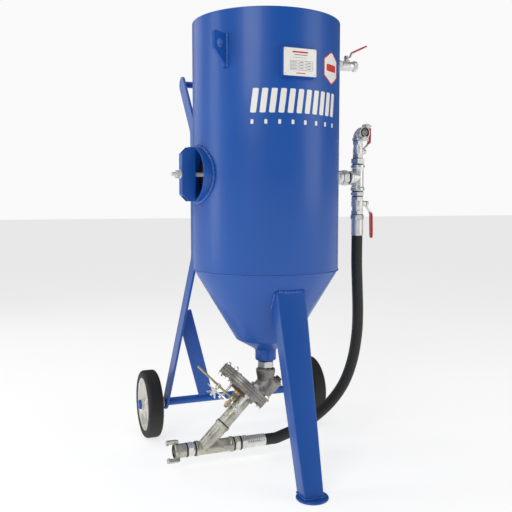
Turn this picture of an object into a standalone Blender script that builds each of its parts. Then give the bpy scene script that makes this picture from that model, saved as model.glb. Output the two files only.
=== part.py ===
"""A mobile abrasive-blasting pressure pot on a two-wheel trolley.

Metres, +Z up. The trolley's right is +X, its front leg is towards -Y and its wheels and handle are
towards +Y. Most pieces hang on the empty TRUNK, whose axis is the tank's, standing on the floor. The
metering valve's pieces hang on the empty VALVE, whose +Z is the valve's slanted flange axis, and the
hatch's on the empty HATCH, whose -X points straight out of the hatch.
"""

import math

import bmesh
import bpy
from mathutils import Matrix, Vector

# Driving dimensions
GAP = 0.0003            # clearance between pieces that touch or are welded
TANK_AT = (-0.0187, -0.0320, 0.0)
TANK_R = 0.225
TANK_WALL = 0.005
TANK_TOP = 1.351
SEAM_Z = 0.608          # cylinder to cone
CONE_KNUCKLE = (0.094, 0.388)
CONE_END = (0.0365, 0.3555)
OUTLET_BORE = 0.0213
HEAD_RIM_Z = 1.300
HEAD_DEPTH = 0.055
PORT_R = 0.047
POPUP_BASE_Z = 1.168
PIPE_Z = 0.894          # air inlet height
INLET_X = 0.324         # vertical line of the inlet fittings
VENT_Z = 1.251
HATCH_Z = 0.897
NECK_R = 0.0795
NECK_BORE = 0.0725
NECK_FACE_X = -0.240
NECK_BACK_X = -0.195
HATCH_TURN = math.radians(6)   # the hatch stands this much towards the front leg
GASKET_T = 0.003
COVER_T = 0.008
YOKE_X = -0.2815        # outer face of the yoke's web
NUT_T = 0.016
STUD_R = 0.006
STUD_END_X = -0.3110
AXLE = (0.329, 0.116)   # y, z
WHEEL_X = 0.303
WHEEL_R = 0.116
SHAFT_R = 0.010
BAR_X = 0.1877
BAR_Y = 0.155
BAR_AXLE_X = 0.245
BAR_W = 0.050
BAR_T = 0.008
BAR_BEND_Z = 0.630
BAR_TOP_BEND_Z = 1.050
HANDLE = (0.285, 1.209)  # y, z
VALVE_AT = (-0.0738, 0.0, 0.2422)
VALVE_TILT = math.radians(45)
FLANGE_R = 0.088
FLANGE_GAP = 0.0035     # half the gap between the flanges, which the spacer ring fills
FLANGE_LOW_W = 0.0195   # thickness of the lower flange and that gap
BUSH_END_W = -0.0365
HUB_T = 0.011
FLOW_U = 0.034          # outlet pipe's offset from the flange axis
LEVER_ANGLE = math.radians(195)
LEVER_W = -0.055        # lever's height on the flange axis
CLAMP_R = 0.073         # lever clamp's distance from the spindle
QUADRANT_W = -0.0715    # middle of the slotted plate
PLATE_T = 0.003
STUD_CIRCLE = 0.079     # flange bolts, two of which are long studs that carry the quadrant
STUD_ANGLES = (math.radians(87.5), math.radians(267.5))
LATERAL = (-0.211, 0.0, 0.058)
HOSE_R = 0.018
BIG = 48                # sides of the tank
ROUND = 12              # sides of a fitting

BLUE = ((0.035, 0.115, 0.36), 0.35, 0.0)
ZINC = ((0.55, 0.54, 0.50), 0.38, 0.9)
CAST = ((0.36, 0.34, 0.31), 0.55, 0.8)
BRASS = ((0.62, 0.43, 0.18), 0.35, 0.9)
RUBBER = ((0.018, 0.018, 0.018), 0.80, 0.0)
RED = ((0.55, 0.03, 0.03), 0.45, 0.0)
PLATE = ((0.80, 0.80, 0.78), 0.40, 0.2)


def clear_scene():
    for obj in list(bpy.data.objects):
        bpy.data.objects.remove(obj)


def new_collection(name):
    made = bpy.data.collections.new(name)
    bpy.context.scene.collection.children.link(made)
    return made


def new_empty(name, place, turn=(0.0, 0.0, 0.0), parent=None):
    made = bpy.data.objects.new(name, None)
    PARTS.objects.link(made)
    made.parent = parent
    made.location = place
    made.rotation_euler = turn
    return made


clear_scene()
PARTS = new_collection("Blasting_pot")
CUTTERS = new_collection("Cutters")
TRUNK = new_empty("trunk", TANK_AT)
HATCH = new_empty("hatch_axis", (0.0, 0.0, 0.0), (0.0, 0.0, HATCH_TURN), TRUNK)
VALVE = new_empty("valve_axis", VALVE_AT, (0.0, VALVE_TILT, 0.0), TRUNK)


# Solids

def stand(name, mesh, place, direction=(0, 0, 1), frame=TRUNK):
    """An object at place whose +Z runs along direction, both in the frame's axes."""
    obj = bpy.data.objects.new(name, mesh)
    PARTS.objects.link(obj)
    obj.parent = frame
    obj.location = place
    obj.rotation_mode = "QUATERNION"
    obj.rotation_quaternion = Vector(direction).to_track_quat("Z", "Y")
    return obj


def mesh_from(name, fill):
    mesh = bpy.data.meshes.new(name)
    shape = bmesh.new()
    fill(shape)
    shape.to_mesh(mesh)
    shape.free()
    return mesh


def rod(name, start, end, radius, sides=ROUND, frame=TRUNK, end_radius=None):
    """A cylinder, prism or cone from start to end."""
    start, end = Vector(start), Vector(end)
    length = (end - start).length

    def fill(shape):
        bmesh.ops.create_cone(
            shape, cap_ends=True, segments=sides, radius1=radius,
            radius2=radius if end_radius is None else end_radius, depth=length,
            matrix=Matrix.Translation((0, 0, length / 2)),
        )
    return stand(name, mesh_from(name, fill), start, end - start, frame)


def ball(name, centre, radius, frame=TRUNK, sides=12):
    def fill(shape):
        bmesh.ops.create_uvsphere(shape, u_segments=sides, v_segments=sides // 2, radius=radius)
    return stand(name, mesh_from(name, fill), centre, frame=frame)


def block(name, low, high, frame=TRUNK):
    low, high = Vector(low), Vector(high)

    def fill(shape):
        bmesh.ops.create_cube(shape, size=1.0, matrix=Matrix.Diagonal((*(high - low), 1.0)))
    return stand(name, mesh_from(name, fill), (low + high) / 2, frame=frame)


def axes_matrix(x_axis, y_axis, z_axis, origin):
    turn = Matrix((x_axis, y_axis, z_axis)).transposed().to_4x4()
    return Matrix.Translation(origin) @ turn


def flat_bar(name, start, end, width, thick, face, frame=TRUNK, end_size=None):
    """A bar from start to end whose wide sides face as near to face as they can."""
    start, end = Vector(start), Vector(end)
    along = (end - start).normalized()
    across = along.cross(Vector(face)).normalized()
    out = across.cross(along)
    far_width, far_thick = end_size or (width, thick)

    def fill(shape):
        bmesh.ops.create_cube(shape, size=1.0)
        for vert in shape.verts:
            top = vert.co.z > 0
            vert.co.x *= far_width if top else width
            vert.co.y *= far_thick if top else thick
            vert.co.z = (end - start).length if top else 0.0
    obj = stand(name, mesh_from(name, fill), (0, 0, 0), frame=frame)
    obj.rotation_mode = "QUATERNION"
    turn = axes_matrix(across, -out, along, start)
    obj.location = turn.to_translation()
    obj.rotation_quaternion = turn.to_quaternion()
    return obj


def turned(name, profile, place, direction=(0, 0, 1), frame=TRUNK, sides=ROUND):
    """A closed (radius, height) outline, down its outer side and up its inner side, turned round +Z."""
    mesh = bpy.data.meshes.new(name)
    points = [(radius, 0.0, height) for radius, height in profile]
    edges = [(i, (i + 1) % len(points)) for i in range(len(points))]
    mesh.from_pydata(points, edges, [])
    obj = stand(name, mesh, place, direction, frame)
    screw = obj.modifiers.new("Turn", "SCREW")
    screw.axis = "Z"
    screw.steps = screw.render_steps = sides
    screw.use_merge_vertices = True
    screw.merge_threshold = 0.00001
    return obj


def ring(outer, inner, low, high):
    return [(outer, high), (outer, low), (inner, low), (inner, high)]


def as_mesh(curve_object):
    """The curve object's evaluated shape as a mesh object in the same place."""
    bpy.context.view_layer.update()
    graph = bpy.context.evaluated_depsgraph_get()
    mesh = bpy.data.meshes.new_from_object(curve_object.evaluated_get(graph))
    shape = bmesh.new()
    shape.from_mesh(mesh)
    bmesh.ops.remove_doubles(shape, verts=shape.verts, dist=0.00001)
    bmesh.ops.recalc_face_normals(shape, faces=shape.faces)
    shape.to_mesh(mesh)
    shape.free()
    name = curve_object.name
    parent = curve_object.parent
    world = curve_object.matrix_world.copy()
    bpy.data.objects.remove(curve_object)
    obj = bpy.data.objects.new(name, mesh)
    PARTS.objects.link(obj)
    obj.parent = parent
    obj.matrix_world = world
    return obj


def sheet_metal(name, outline, thick, origin, x_axis, y_axis, frame=TRUNK):
    """A flat outline, given in the plane of x_axis and y_axis, with thick split on both sides."""
    curve = bpy.data.curves.new(name, "CURVE")
    curve.dimensions = "2D"
    curve.fill_mode = "BOTH"
    curve.extrude = thick / 2
    spline = curve.splines.new("POLY")
    spline.points.add(len(outline) - 1)
    for point, (x, y) in zip(spline.points, outline):
        point.co = (x, y, 0.0, 1.0)
    spline.use_cyclic_u = True
    obj = bpy.data.objects.new(name, curve)
    PARTS.objects.link(obj)
    obj.parent = frame
    x_axis, y_axis = Vector(x_axis).normalized(), Vector(y_axis).normalized()
    turn = axes_matrix(x_axis, y_axis, x_axis.cross(y_axis), origin)
    obj.location = turn.to_translation()
    obj.rotation_mode = "QUATERNION"
    obj.rotation_quaternion = turn.to_quaternion()
    return as_mesh(obj)


def tube_curve(name, points, radius, resolution, caps):
    curve = bpy.data.curves.new(name, "CURVE")
    curve.dimensions = "3D"
    curve.bevel_depth = radius
    curve.bevel_resolution = resolution
    curve.use_fill_caps = caps
    spline = curve.splines.new("POLY")
    spline.points.add(len(points) - 1)
    for point, place in zip(spline.points, points):
        point.co = (*place, 1.0)
    obj = bpy.data.objects.new(name, curve)
    PARTS.objects.link(obj)
    obj.parent = TRUNK
    return obj


def helper(obj):
    PARTS.objects.unlink(obj)
    CUTTERS.objects.link(obj)
    obj.hide_render = True
    obj.display_type = "WIRE"


def combine(obj, add=(), cut=()):
    """Joins the pieces of add to obj, then takes the pieces of cut away from it."""
    for operation, others in (("UNION", add), ("DIFFERENCE", cut)):
        for other in others:
            helper(other)
            boolean = obj.modifiers.new(other.name, "BOOLEAN")
            boolean.operation = operation
            boolean.object = other
    return obj


def finish(obj, look):
    """Gives obj its own Principled material and smooth round sides."""
    colour, roughness, metallic = look
    material = bpy.data.materials.new(obj.name)
    material.use_nodes = True
    shader = material.node_tree.nodes["Principled BSDF"]
    shader.inputs["Base Color"].default_value = (*colour, 1.0)
    shader.inputs["Roughness"].default_value = roughness
    shader.inputs["Metallic"].default_value = metallic
    obj.data.materials.clear()
    obj.data.materials.append(material)
    if obj.type == "MESH":
        obj.data.shade_smooth()
        obj.data.set_sharp_from_angle(angle=math.radians(30))
    return obj


def fitting(name, start, direction, sections, bore, look, frame=TRUNK, extra=()):
    """Coaxial sections (from, to, radius, sides), the first through them all, bored right through."""
    start, direction = Vector(start), Vector(direction).normalized()
    pieces = []
    for index, (low, high, radius, sides) in enumerate(sections):
        piece_name = f"{name}_{index}" if index else name
        ends = start + direction * low, start + direction * high
        pieces.append(rod(piece_name, *ends, radius, sides, frame))
    low, high = sections[0][0] - 0.002, sections[0][1] + 0.002
    cutter = rod(name + "_bore", start + direction * low, start + direction * high, bore, ROUND, frame)
    return finish(combine(pieces[0], [*pieces[1:], *extra], [cutter]), look)


# Vessel

def on_tank(angle, radius, z):
    """A point at an angle from the front (-Y), towards the right (+X)."""
    return Vector((radius * math.sin(angle), -radius * math.cos(angle), z))


def shell():
    profile = ring(TANK_R, TANK_R - TANK_WALL, SEAM_Z + GAP, TANK_TOP)
    body = turned("tank_shell", profile, (0, 0, 0), sides=BIG)
    hatch = rod("hatch_hole", (-0.30, 0, HATCH_Z), (-0.15, 0, HATCH_Z), NECK_R + GAP, 24, HATCH)
    inlet = rod("inlet_hole", (0.15, 0, PIPE_Z), (0.30, 0, PIPE_Z), 0.0165 + GAP)
    vent = rod("vent_hole", (0.15, 0, VENT_Z), (0.30, 0, VENT_Z), 0.0130 + GAP)
    finish(combine(body, cut=[hatch, inlet, vent]), BLUE)


def cone():
    knuckle_r, knuckle_z = CONE_KNUCKLE
    end_r, end_z = CONE_END
    profile = [
        (TANK_R, SEAM_Z), (knuckle_r, knuckle_z), (end_r, end_z), (0.0225, end_z),
        (0.0225, end_z + TANK_WALL), (knuckle_r - 0.003, knuckle_z + TANK_WALL),
        (TANK_R - TANK_WALL - 0.001, SEAM_Z),
    ]
    body = turned("bottom_cone", profile, (0, 0, 0), sides=36)
    low = 0.3185
    socket = [
        (0.033, low + 0.0380), (0.033, low + 0.004), (0.030, low), (OUTLET_BORE, low),
        (OUTLET_BORE, low + 0.0380),
    ]
    finish(combine(body, [turned("outlet_socket", socket, (0, 0, 0), sides=16)]), BLUE)


def dish_z(radius):
    """Height of the concave filling head's top surface."""
    rim = TANK_R - TANK_WALL
    sphere = (rim ** 2 + HEAD_DEPTH ** 2) / (2 * HEAD_DEPTH)
    return HEAD_RIM_Z - HEAD_DEPTH + sphere - math.sqrt(sphere ** 2 - radius ** 2)


def filling_head():
    rim = TANK_R - TANK_WALL - 0.0008
    steps = 3
    radii = [PORT_R + 0.004 + (rim - PORT_R - 0.004) * i / steps for i in range(steps + 1)]
    under = [(r, dish_z(r) - TANK_WALL) for r in reversed(radii)]
    neck_low = dish_z(PORT_R) - 0.032
    neck = [(PORT_R + 0.004, neck_low), (PORT_R, neck_low), (PORT_R, dish_z(PORT_R))]
    top = [(r, dish_z(r)) for r in radii[1:]]
    finish(turned("filling_head", [*under, *neck, *top], (0, 0, 0), sides=24), BLUE)
    seat = ring(PORT_R + 0.004, 0.040, neck_low - 0.010, neck_low - GAP)
    finish(turned("filling_seat", seat, (0, 0, 0), sides=16), RUBBER)


def popup_valve():
    base = POPUP_BASE_Z
    top, skirt = base + 0.018, base - 0.070
    profile = [
        (0.012, top), (0.030, top - 0.002), (0.046, base + 0.003), (0.046, base), (0.024, base),
        (0.024, skirt), (0.0185, skirt), (0.0185, base - 0.004), (0.0165, base - 0.002),
        (0.0055, base - 0.002), (0.0055, top),
    ]
    finish(turned("popup_valve", profile, (0, 0, 0), sides=16), RUBBER)


def standpipe():
    """The air pipe from the inlet to the middle of the tank and up inside the pop-up valve's skirt."""
    radius, wall = 0.017, 0.003
    bend = 0.045
    steps = 4
    points = [(0.2048, 0, PIPE_Z)]
    for i in range(steps + 1):
        turn = math.pi / 2 * i / steps
        points.append((bend * (1 - math.sin(turn)), 0, PIPE_Z + bend * (1 - math.cos(turn))))
    points.append((0, 0, POPUP_BASE_Z - 0.010))
    pipe = as_mesh(tube_curve("air_standpipe", points, radius, 3, caps=False))
    solidify = pipe.modifiers.new("Wall", "SOLIDIFY")
    solidify.thickness = wall
    solidify.offset = -1
    finish(pipe, ZINC)


def lugs():
    root, tip = TANK_R + 0.0008, 0.286
    outline = [(root, 1.192), (tip, 1.233), (tip, 1.278), (tip - 0.004, 1.2825), (root, 1.2825)]
    for name, degrees in (("lifting_lug_left", -51.8), ("lifting_lug_right", 128.2)):
        out = on_tank(math.radians(degrees), 1.0, 0)
        plate = sheet_metal(name, outline, 0.008, (0, 0, 0), out, (0, 0, 1))
        side = Vector((-out.y, out.x, 0)) * 0.01
        eye = out * 0.260 + Vector((0, 0, 1.252))
        finish(combine(plate, cut=[rod(name + "_eye", eye - side, eye + side, 0.0135)]), BLUE)


def nameplate():
    angle = math.radians(1.7)
    out = on_tank(angle, 1.0, 0)
    centre = Vector((0, 0, 1.2005))
    holder = flat_bar(
        "nameplate_holder", centre + out * 0.215, centre + out * 0.2352, 0.104, 0.080, (0, 0, 1))
    tank = rod("holder_cut", (0, 0, 1.1), (0, 0, 1.3), TANK_R + GAP, BIG)
    finish(combine(holder, cut=[tank]), BLUE)
    plate = flat_bar(
        "nameplate", centre + out * 0.2355, centre + out * 0.2365, 0.100, 0.075, (0, 0, 1))
    finish(plate, PLATE)


# Inspection hatch

def hatch():
    """A flanged neck in the shell's side, closed from inside by a cover that a yoke and a nut pull out."""
    back, out = NECK_BACK_X, (-1, 0, 0)
    neck = ring(NECK_R, NECK_BORE, 0.0, back - NECK_FACE_X)
    finish(turned("hatch_neck", neck, (back, 0, HATCH_Z), out, HATCH, 24), BLUE)
    gasket_at = back + GAP
    gasket = ring(0.0785, 0.0695, -GASKET_T, 0.0)
    finish(turned("hatch_gasket", gasket, (gasket_at, 0, HATCH_Z), out, HATCH, 20), RUBBER)
    cover_at = gasket_at + GASKET_T + GAP
    disc = hatch_rod("hatch_cover", cover_at + COVER_T, cover_at, 0.078, 24)
    boss = hatch_rod("cover_boss", cover_at + 0.002, cover_at - 0.012, 0.012)
    stud = hatch_rod("cover_stud", cover_at, STUD_END_X, STUD_R, 10)
    finish(combine(disc, [boss, stud]), CAST)
    yoke()
    seat = YOKE_X - GAP
    nut = hatch_rod("hatch_nut", seat, seat - 0.0030, 0.0135)
    flats = hatch_rod("nut_flats", seat - 0.0020, seat - NUT_T, 0.0118, 6)
    thread = hatch_rod("nut_thread", seat + 0.01, seat - 0.03, STUD_R + 0.0006, 10)
    finish(combine(nut, [flats], [thread]), ZINC)


def hatch_rod(name, start_x, end_x, radius, sides=ROUND):
    return rod(name, (start_x, 0, HATCH_Z), (end_x, 0, HATCH_Z), radius, sides, HATCH)


def yoke():
    """A channel across the hatch's mouth with its flanges on the neck's face and its corners cut off."""
    half, reach, thick, chamfer = 0.0125, 0.079, 0.004, 0.020 * math.sqrt(2)
    low, high = HATCH_Z - reach, HATCH_Z + reach
    channel = block("hatch_yoke", (YOKE_X, -half, low), (NECK_FACE_X - GAP, half, high), HATCH)
    inside_low = (YOKE_X + thick, thick - half, low - 0.01)
    inside = block("yoke_inside", inside_low, (-0.2, half - thick, high + 0.01), HATCH)
    hole = hatch_rod("yoke_hole", YOKE_X - 0.01, YOKE_X + 0.01, 0.0072)
    corners = []
    for z in (low, high):
        ends = (YOKE_X, -0.03, z), (YOKE_X, 0.03, z)
        corners.append(flat_bar(f"yoke_corner_{z:.2f}", *ends, chamfer, chamfer, (1, 0, 1), HATCH))
    finish(combine(channel, cut=[inside, hole, *corners]), BLUE)


# Trolley

FOOT_AT = 0.0045, -0.3350
FOOT_R = 0.0460
FOOT_T = 0.0085


def front_leg():
    top, foot = Vector((0, -0.1685, 0.5630)), Vector((0.0030, -0.3265, 0.0073))
    leg = flat_bar("front_leg", foot, top, 0.058, 0.055, (0, -1, 0), end_size=(0.092, 0.055))
    run = (top - foot).normalized()
    inside = flat_bar(
        "leg_inside", foot + run * 0.008, top + run * 0.06, 0.048, 0.047, (0, -1, 0),
        end_size=(0.085, 0.047))
    foot_cut = block("leg_foot_cut", (-0.1, -0.5, -0.1), (0.1, -0.1, 0.0060))
    knuckle_r, knuckle_z = CONE_KNUCKLE
    solid_cone = rod(
        "leg_cone_cut", (0, 0, knuckle_z), (0, 0, SEAM_Z), knuckle_r + 0.0012, BIG,
        end_radius=TANK_R + 0.0012)
    above = block("leg_top_cut", (-0.1, -0.4, 0.556), (0.1, -0.1, 0.7))
    combine(leg, cut=[inside, solid_cone, above, foot_cut])
    disc = rod("foot_disc", (*FOOT_AT, 0), (*FOOT_AT, FOOT_T), FOOT_R, 32)
    finish(combine(leg, [disc]), BLUE)


def bar_points(side):
    axle_y, axle_z = AXLE
    handle_y, handle_z = HANDLE
    return (
        Vector((side * BAR_AXLE_X, axle_y, axle_z)), Vector((side * BAR_X, BAR_Y, BAR_BEND_Z)),
        Vector((side * BAR_X, BAR_Y, BAR_TOP_BEND_Z)), Vector((side * BAR_X, handle_y, handle_z)),
    )


def side_bar(name, side):
    points = bar_points(side)
    face = (1, 0, 0)
    runs = [
        flat_bar(f"{name}_run_{i}" if i else name, points[i], points[i + 1], BAR_W, BAR_T, face)
        for i in range(3)
    ]
    half = Vector((BAR_T / 2 - 0.0007, 0, 0))
    knuckle_r = BAR_W / 2 - 0.0003
    knuckles = [
        rod(f"{name}_knuckle_{i}", point - half, point + half, knuckle_r, 15)
        for i, point in enumerate(points)
    ]
    out = Vector((0.05, 0, 0))
    holes = [
        rod(name + "_axle_hole", points[0] - out, points[0] + out, SHAFT_R + 0.0005),
        rod(name + "_handle_hole", points[3] - out, points[3] + out, 0.0108),
    ]
    finish(combine(runs[0], [*runs[1:], *knuckles], holes), BLUE)


def brace():
    """One flat bar from the left side bar down to the middle of the axle tube."""
    axle_y, axle_z = AXLE
    top = Vector((-0.2014, 0.2374, 0.4454))
    bar = flat_bar("brace_bar", top, (-0.0965, axle_y, axle_z), BAR_W, BAR_T, (0, -1, 0))
    low, high, *_ = bar_points(-1)
    out = Vector((-(0.030 - BAR_T / 2 - GAP), 0, 0))
    side = flat_bar("brace_side_cut", low + out, high + out, 0.20, 0.060, (1, 0, 0))
    axle = rod("brace_axle_cut", (-0.3, axle_y, axle_z), (0.3, axle_y, axle_z), 0.0135 + GAP)
    finish(combine(bar, cut=[side, axle]), BLUE)


def tube_between(name, x, y, z, radius, bore):
    profile = ring(radius, bore, -x, x)
    finish(turned(name, profile, (0, y, z), (1, 0, 0)), BLUE)


def wheels():
    y, z = AXLE
    tyre = [
        (0.109, 0.026), (WHEEL_R, 0.018), (WHEEL_R, -0.018), (0.109, -0.026), (0.090, -0.022),
        (0.090, 0.022),
    ]
    centre = [
        (0.0890, 0.019), (0.0890, -0.019), (0.084, -0.019), (0.084, -0.002), (0.019, -0.002),
        (0.019, -0.0505), (SHAFT_R + 0.0005, -0.0505), (SHAFT_R + 0.0005, 0.0300), (0.019, 0.0300),
        (0.019, 0.003), (0.084, 0.003), (0.084, 0.019),
    ]
    for side, word in ((-1, "left"), (1, "right")):
        hub = (side * WHEEL_X, y, z)
        finish(turned(f"tyre_{word}", tyre, hub, (side, 0, 0), sides=28), RUBBER)
        finish(turned(f"wheel_centre_{word}", centre, hub, (side, 0, 0), sides=28), ZINC)


def trolley():
    front_leg()
    side_bar("side_bar_left", -1)
    side_bar("side_bar_right", 1)
    brace()
    tube_between("handle_tube", BAR_X + BAR_T / 2, *HANDLE, 0.0105, 0.0082)
    tube_between("axle_tube", 0.239, *AXLE, 0.0135, 0.0108)
    y, z = AXLE
    caps = [
        rod(f"axle_cap_{side}", (side * 0.3335, y, z), (side * 0.343, y, z), 0.017, end_radius=0.012)
        for side in (-1, 1)
    ]
    finish(combine(rod("axle_shaft", (-0.335, y, z), (0.335, y, z), SHAFT_R), caps), BLUE)
    wheels()


# Air side

BALL_PLAY = 0.0008      # lets the faceted ball turn in its faceted seat
VALVES = {
    # length, core radius, hexagon radius, ball centre from the start, ball radius, bore,
    # gland reach, stem reach
    "lower": (0.058, 0.0190, 0.0222, 0.022, 0.0145, 0.0105, 0.030, 0.041),
    "upper": (0.0565, 0.0155, 0.0186, 0.0212, 0.0118, 0.0080, 0.0205, 0.0295),
    "vent": (0.070, 0.0145, 0.0172, 0.034, 0.0112, 0.0075, 0.0205, 0.0324),
}


def ball_valve(word, start, axis, stem):
    """A two-piece ball valve: the body here, and a ball whose stem leaves along stem."""
    length, core, hexagon, centre_at, ball_r, bore, gland, reach = VALVES[word]
    start, axis, stem = Vector(start), Vector(axis), Vector(stem)
    centre = start + axis * centre_at
    gland_piece = rod(f"{word}_gland", centre + stem * 0.006, centre + stem * gland, 0.0082, 10)
    sections = [
        (0, length, core, ROUND), (0.001, 0.012, hexagon, 6), (length - 0.013, length - 0.001, hexagon, 6)]
    body = fitting(f"{word}_valve_body", start, axis, sections, bore, ZINC, extra=[gland_piece])
    cavity = ball(f"{word}_cavity", centre, ball_r + GAP)
    stem_hole = rod(f"{word}_stem_hole", centre, centre + stem * (gland + 0.01), 0.0050, 10)
    combine(body, cut=[cavity, stem_hole])
    sphere = ball(f"{word}_ball_stem", centre, ball_r - BALL_PLAY)
    shank = rod(f"{word}_shank", centre + stem * (bore + 0.001), centre + stem * reach, 0.0045, 10)
    port = rod(f"{word}_port", centre - axis * 0.03, centre + axis * 0.03, bore)
    nut = rod(f"{word}_stem_nut", centre + stem * (reach - 0.0055), centre + stem * reach, 0.0075, 6)
    finish(combine(sphere, [shank, nut], [port]), ZINC)
    return centre


def lever(word, centre, stem, hub_reach, crank, tip):
    """A lever plate on the stem, cranked out to a straight grip. crank and tip are offsets from the hub."""
    stem = Vector(stem)
    hub = centre + stem * hub_reach
    crank, tip = hub + Vector(crank), hub + Vector(tip)
    reach = crank - hub
    flat = (reach - stem * reach.dot(stem)).normalized()
    plate_end = hub + flat * 0.010
    plate = flat_bar(f"{word}_lever", hub - flat * 0.009, plate_end, 0.018, 0.003, stem)
    rise = flat_bar(f"{word}_lever_rise", plate_end - flat * 0.002, crank, 0.014, 0.003, stem)
    grip_from = crank - (tip - crank).normalized() * 0.002
    grip = flat_bar(f"{word}_lever_grip", grip_from, tip, 0.018, 0.006, stem)
    hole = rod(f"{word}_lever_hole", hub - stem * 0.01, hub + stem * 0.01, 0.0050, 10)
    finish(combine(plate, [rise, grip], [hole]), RED)


def inlet():
    nipple = [
        (0, 0.0842, 0.0165, ROUND), (0.0215, 0.0415, 0.0262, 6), (0.0405, 0.0555, 0.0232, ROUND),
        (0.0600, 0.0780, 0.0248, 6),
    ]
    fitting("inlet_nipple", (0.206, 0, PIPE_Z), (1, 0, 0), nipple, 0.0125, ZINC)
    tee()
    x = INLET_X
    bush = [(0, 0.0206, 0.0168, ROUND), (0.0040, 0.0196, 0.0242, 6)]
    fitting("upper_bush", (x, 0, 0.9368), (0, 0, 1), bush, 0.0090, ZINC)
    nipple = [(0, 0.0184, 0.0168, ROUND), (0.0040, 0.0140, 0.0242, 6)]
    fitting("lower_nipple", (x, 0, 0.8333), (0, 0, 1), nipple, 0.0110, ZINC)
    right = (1, 0, 0)
    centre = ball_valve("upper", (x, 0, 0.9577 + GAP), (0, 0, 1), right)
    lever("upper", centre, right, 0.0222, (0.019, 0, 0.030), (0.019, 0, 0.083))
    centre = ball_valve("lower", (x, 0, 0.8330), (0, 0, -1), right)
    lever("lower", centre, right, 0.0335, (0.018, 0, -0.034), (0.020, 0, -0.114))
    elbow()


def tee():
    x = INLET_X
    branch = rod("tee_branch", (x, 0, PIPE_Z), (0.2905, 0, PIPE_Z), 0.0195)
    collar = rod("tee_collar", (0.3010, 0, PIPE_Z), (0.2908, 0, PIPE_Z), 0.0226)
    branch_bore = rod("tee_branch_bore", (x, 0, PIPE_Z), (0.28, 0, PIPE_Z), 0.0140)
    run = [(0, 0.0845, 0.0195, ROUND), (0.0004, 0.0105, 0.0226, ROUND), (0.0740, 0.0841, 0.0226, ROUND)]
    body = fitting("inlet_tee", (x, 0, 0.8520), (0, 0, 1), run, 0.0141, ZINC, extra=[branch, collar])
    combine(body, cut=[branch_bore])


def elbow():
    x, z = INLET_X, 1.037
    centre = Vector((x, 0, z))
    riser = rod("inlet_elbow", (x, 0, 1.0148), centre, 0.0160)
    corner = ball("elbow_corner", centre, 0.0172)
    arm = rod("elbow_arm", centre, (x, -0.0240, z), 0.0160)
    collar = rod("elbow_collar", (x, -0.0150, z), (x, -0.0236, z), 0.0190)
    foot = rod("elbow_foot", (x, 0, 1.0152), (x, 0, 1.0235), 0.0190)
    bores = [
        rod("elbow_bore_up", (x, 0, 1.0), centre, 0.0100), ball("elbow_bore_ball", centre, 0.0101),
        rod("elbow_bore_out", centre, (x, -0.04, z), 0.0100),
    ]
    finish(combine(riser, [corner, arm, collar, foot], bores), ZINC)
    claw_coupling("air_coupling", (x, -0.0243, z), (0, -1, 0), 0.0210, 0.0150, 0.0190, 0.0105, 0.0270)


def claw_coupling(name, start, direction, length, core, face, bore, claw, spin=(1, 0, 0)):
    """A coupling body with a raised face and two opposite claws that reach past it."""
    start, direction, side = Vector(start), Vector(direction), Vector(spin)
    sections = [(0, length, core, ROUND), (length - 0.008, length - 0.0004, face, ROUND)]
    front = start + direction * length
    reach = claw * 0.62
    claws = []
    for i, sign in enumerate((-1, 1)):
        root = front + side * sign * (claw + face) / 2 - direction * 0.007
        claws.append(flat_bar(
            f"{name}_claw_{i}", root, root + direction * (0.007 + reach), claw * 0.7, claw - face + 0.004,
            side))
        lip = front + direction * (reach - 0.005) + side * sign * face * 0.93
        claws.append(flat_bar(
            f"{name}_lip_{i}", lip, lip + direction * 0.0052, claw * 0.55, face * 0.4, side))
    fitting(name, start, direction, sections, bore, ZINC, extra=claws)


def vent():
    nipple = [(0, 0.0364, 0.0128, ROUND), (0.0215, 0.0300, 0.0180, 6)]
    fitting("vent_nipple", (0.2056 + 0.002, 0, VENT_Z), (1, 0, 0), nipple, 0.0085, ZINC)
    centre = ball_valve("vent", (0.2443, 0, VENT_Z), (1, 0, 0), (0, 0, 1))
    lever("vent", centre, (0, 0, 1), 0.0250, (0.020, 0, 0.018), (0.071, 0, 0.042))


# Metering valve, in the VALVE frame: +X is down to the right, +Z up to the right

def metering():
    nipple = [(0, 0.0750, 0.0205, ROUND), (0.0230, 0.0420, 0.0262, 6)]
    fitting("outlet_nipple", (0, 0, 0.2720), (0, 0, 1), nipple, 0.0160, ZINC)
    upper_casting()
    spacer = ring(FLANGE_R, 0.0700, GAP - FLANGE_GAP, FLANGE_GAP - GAP)
    finish(turned("spacer_ring", spacer, (0, 0, 0), frame=VALVE, sides=28), CAST)
    disc = spindle_rod("metering_disc", -0.0027, 0.0027, 0.0685, 28)
    spindle = spindle_rod("disc_spindle", 0.0, -0.0900, 0.0055)
    nut = spindle_rod("spindle_nut", -0.0835, -0.0745, 0.0098, 6)
    port = rod("disc_port", (0.042, 0, -0.01), (0.042, 0, 0.01), 0.0140, frame=VALVE)
    finish(combine(disc, [spindle, nut], [port]), CAST)
    lower_flange()
    spring = ring(0.0105, 0.0075, LEVER_W + HUB_T / 2 + GAP, BUSH_END_W - GAP)
    finish(turned("spindle_spring", spring, (0, 0, 0), frame=VALVE), ZINC)
    outlet_pipe()
    lever_rod()
    quadrant()
    wing_nut()


def spindle_rod(name, low, high, radius, sides=ROUND):
    return rod(name, (0, 0, low), (0, 0, high), radius, sides, VALVE)


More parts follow.
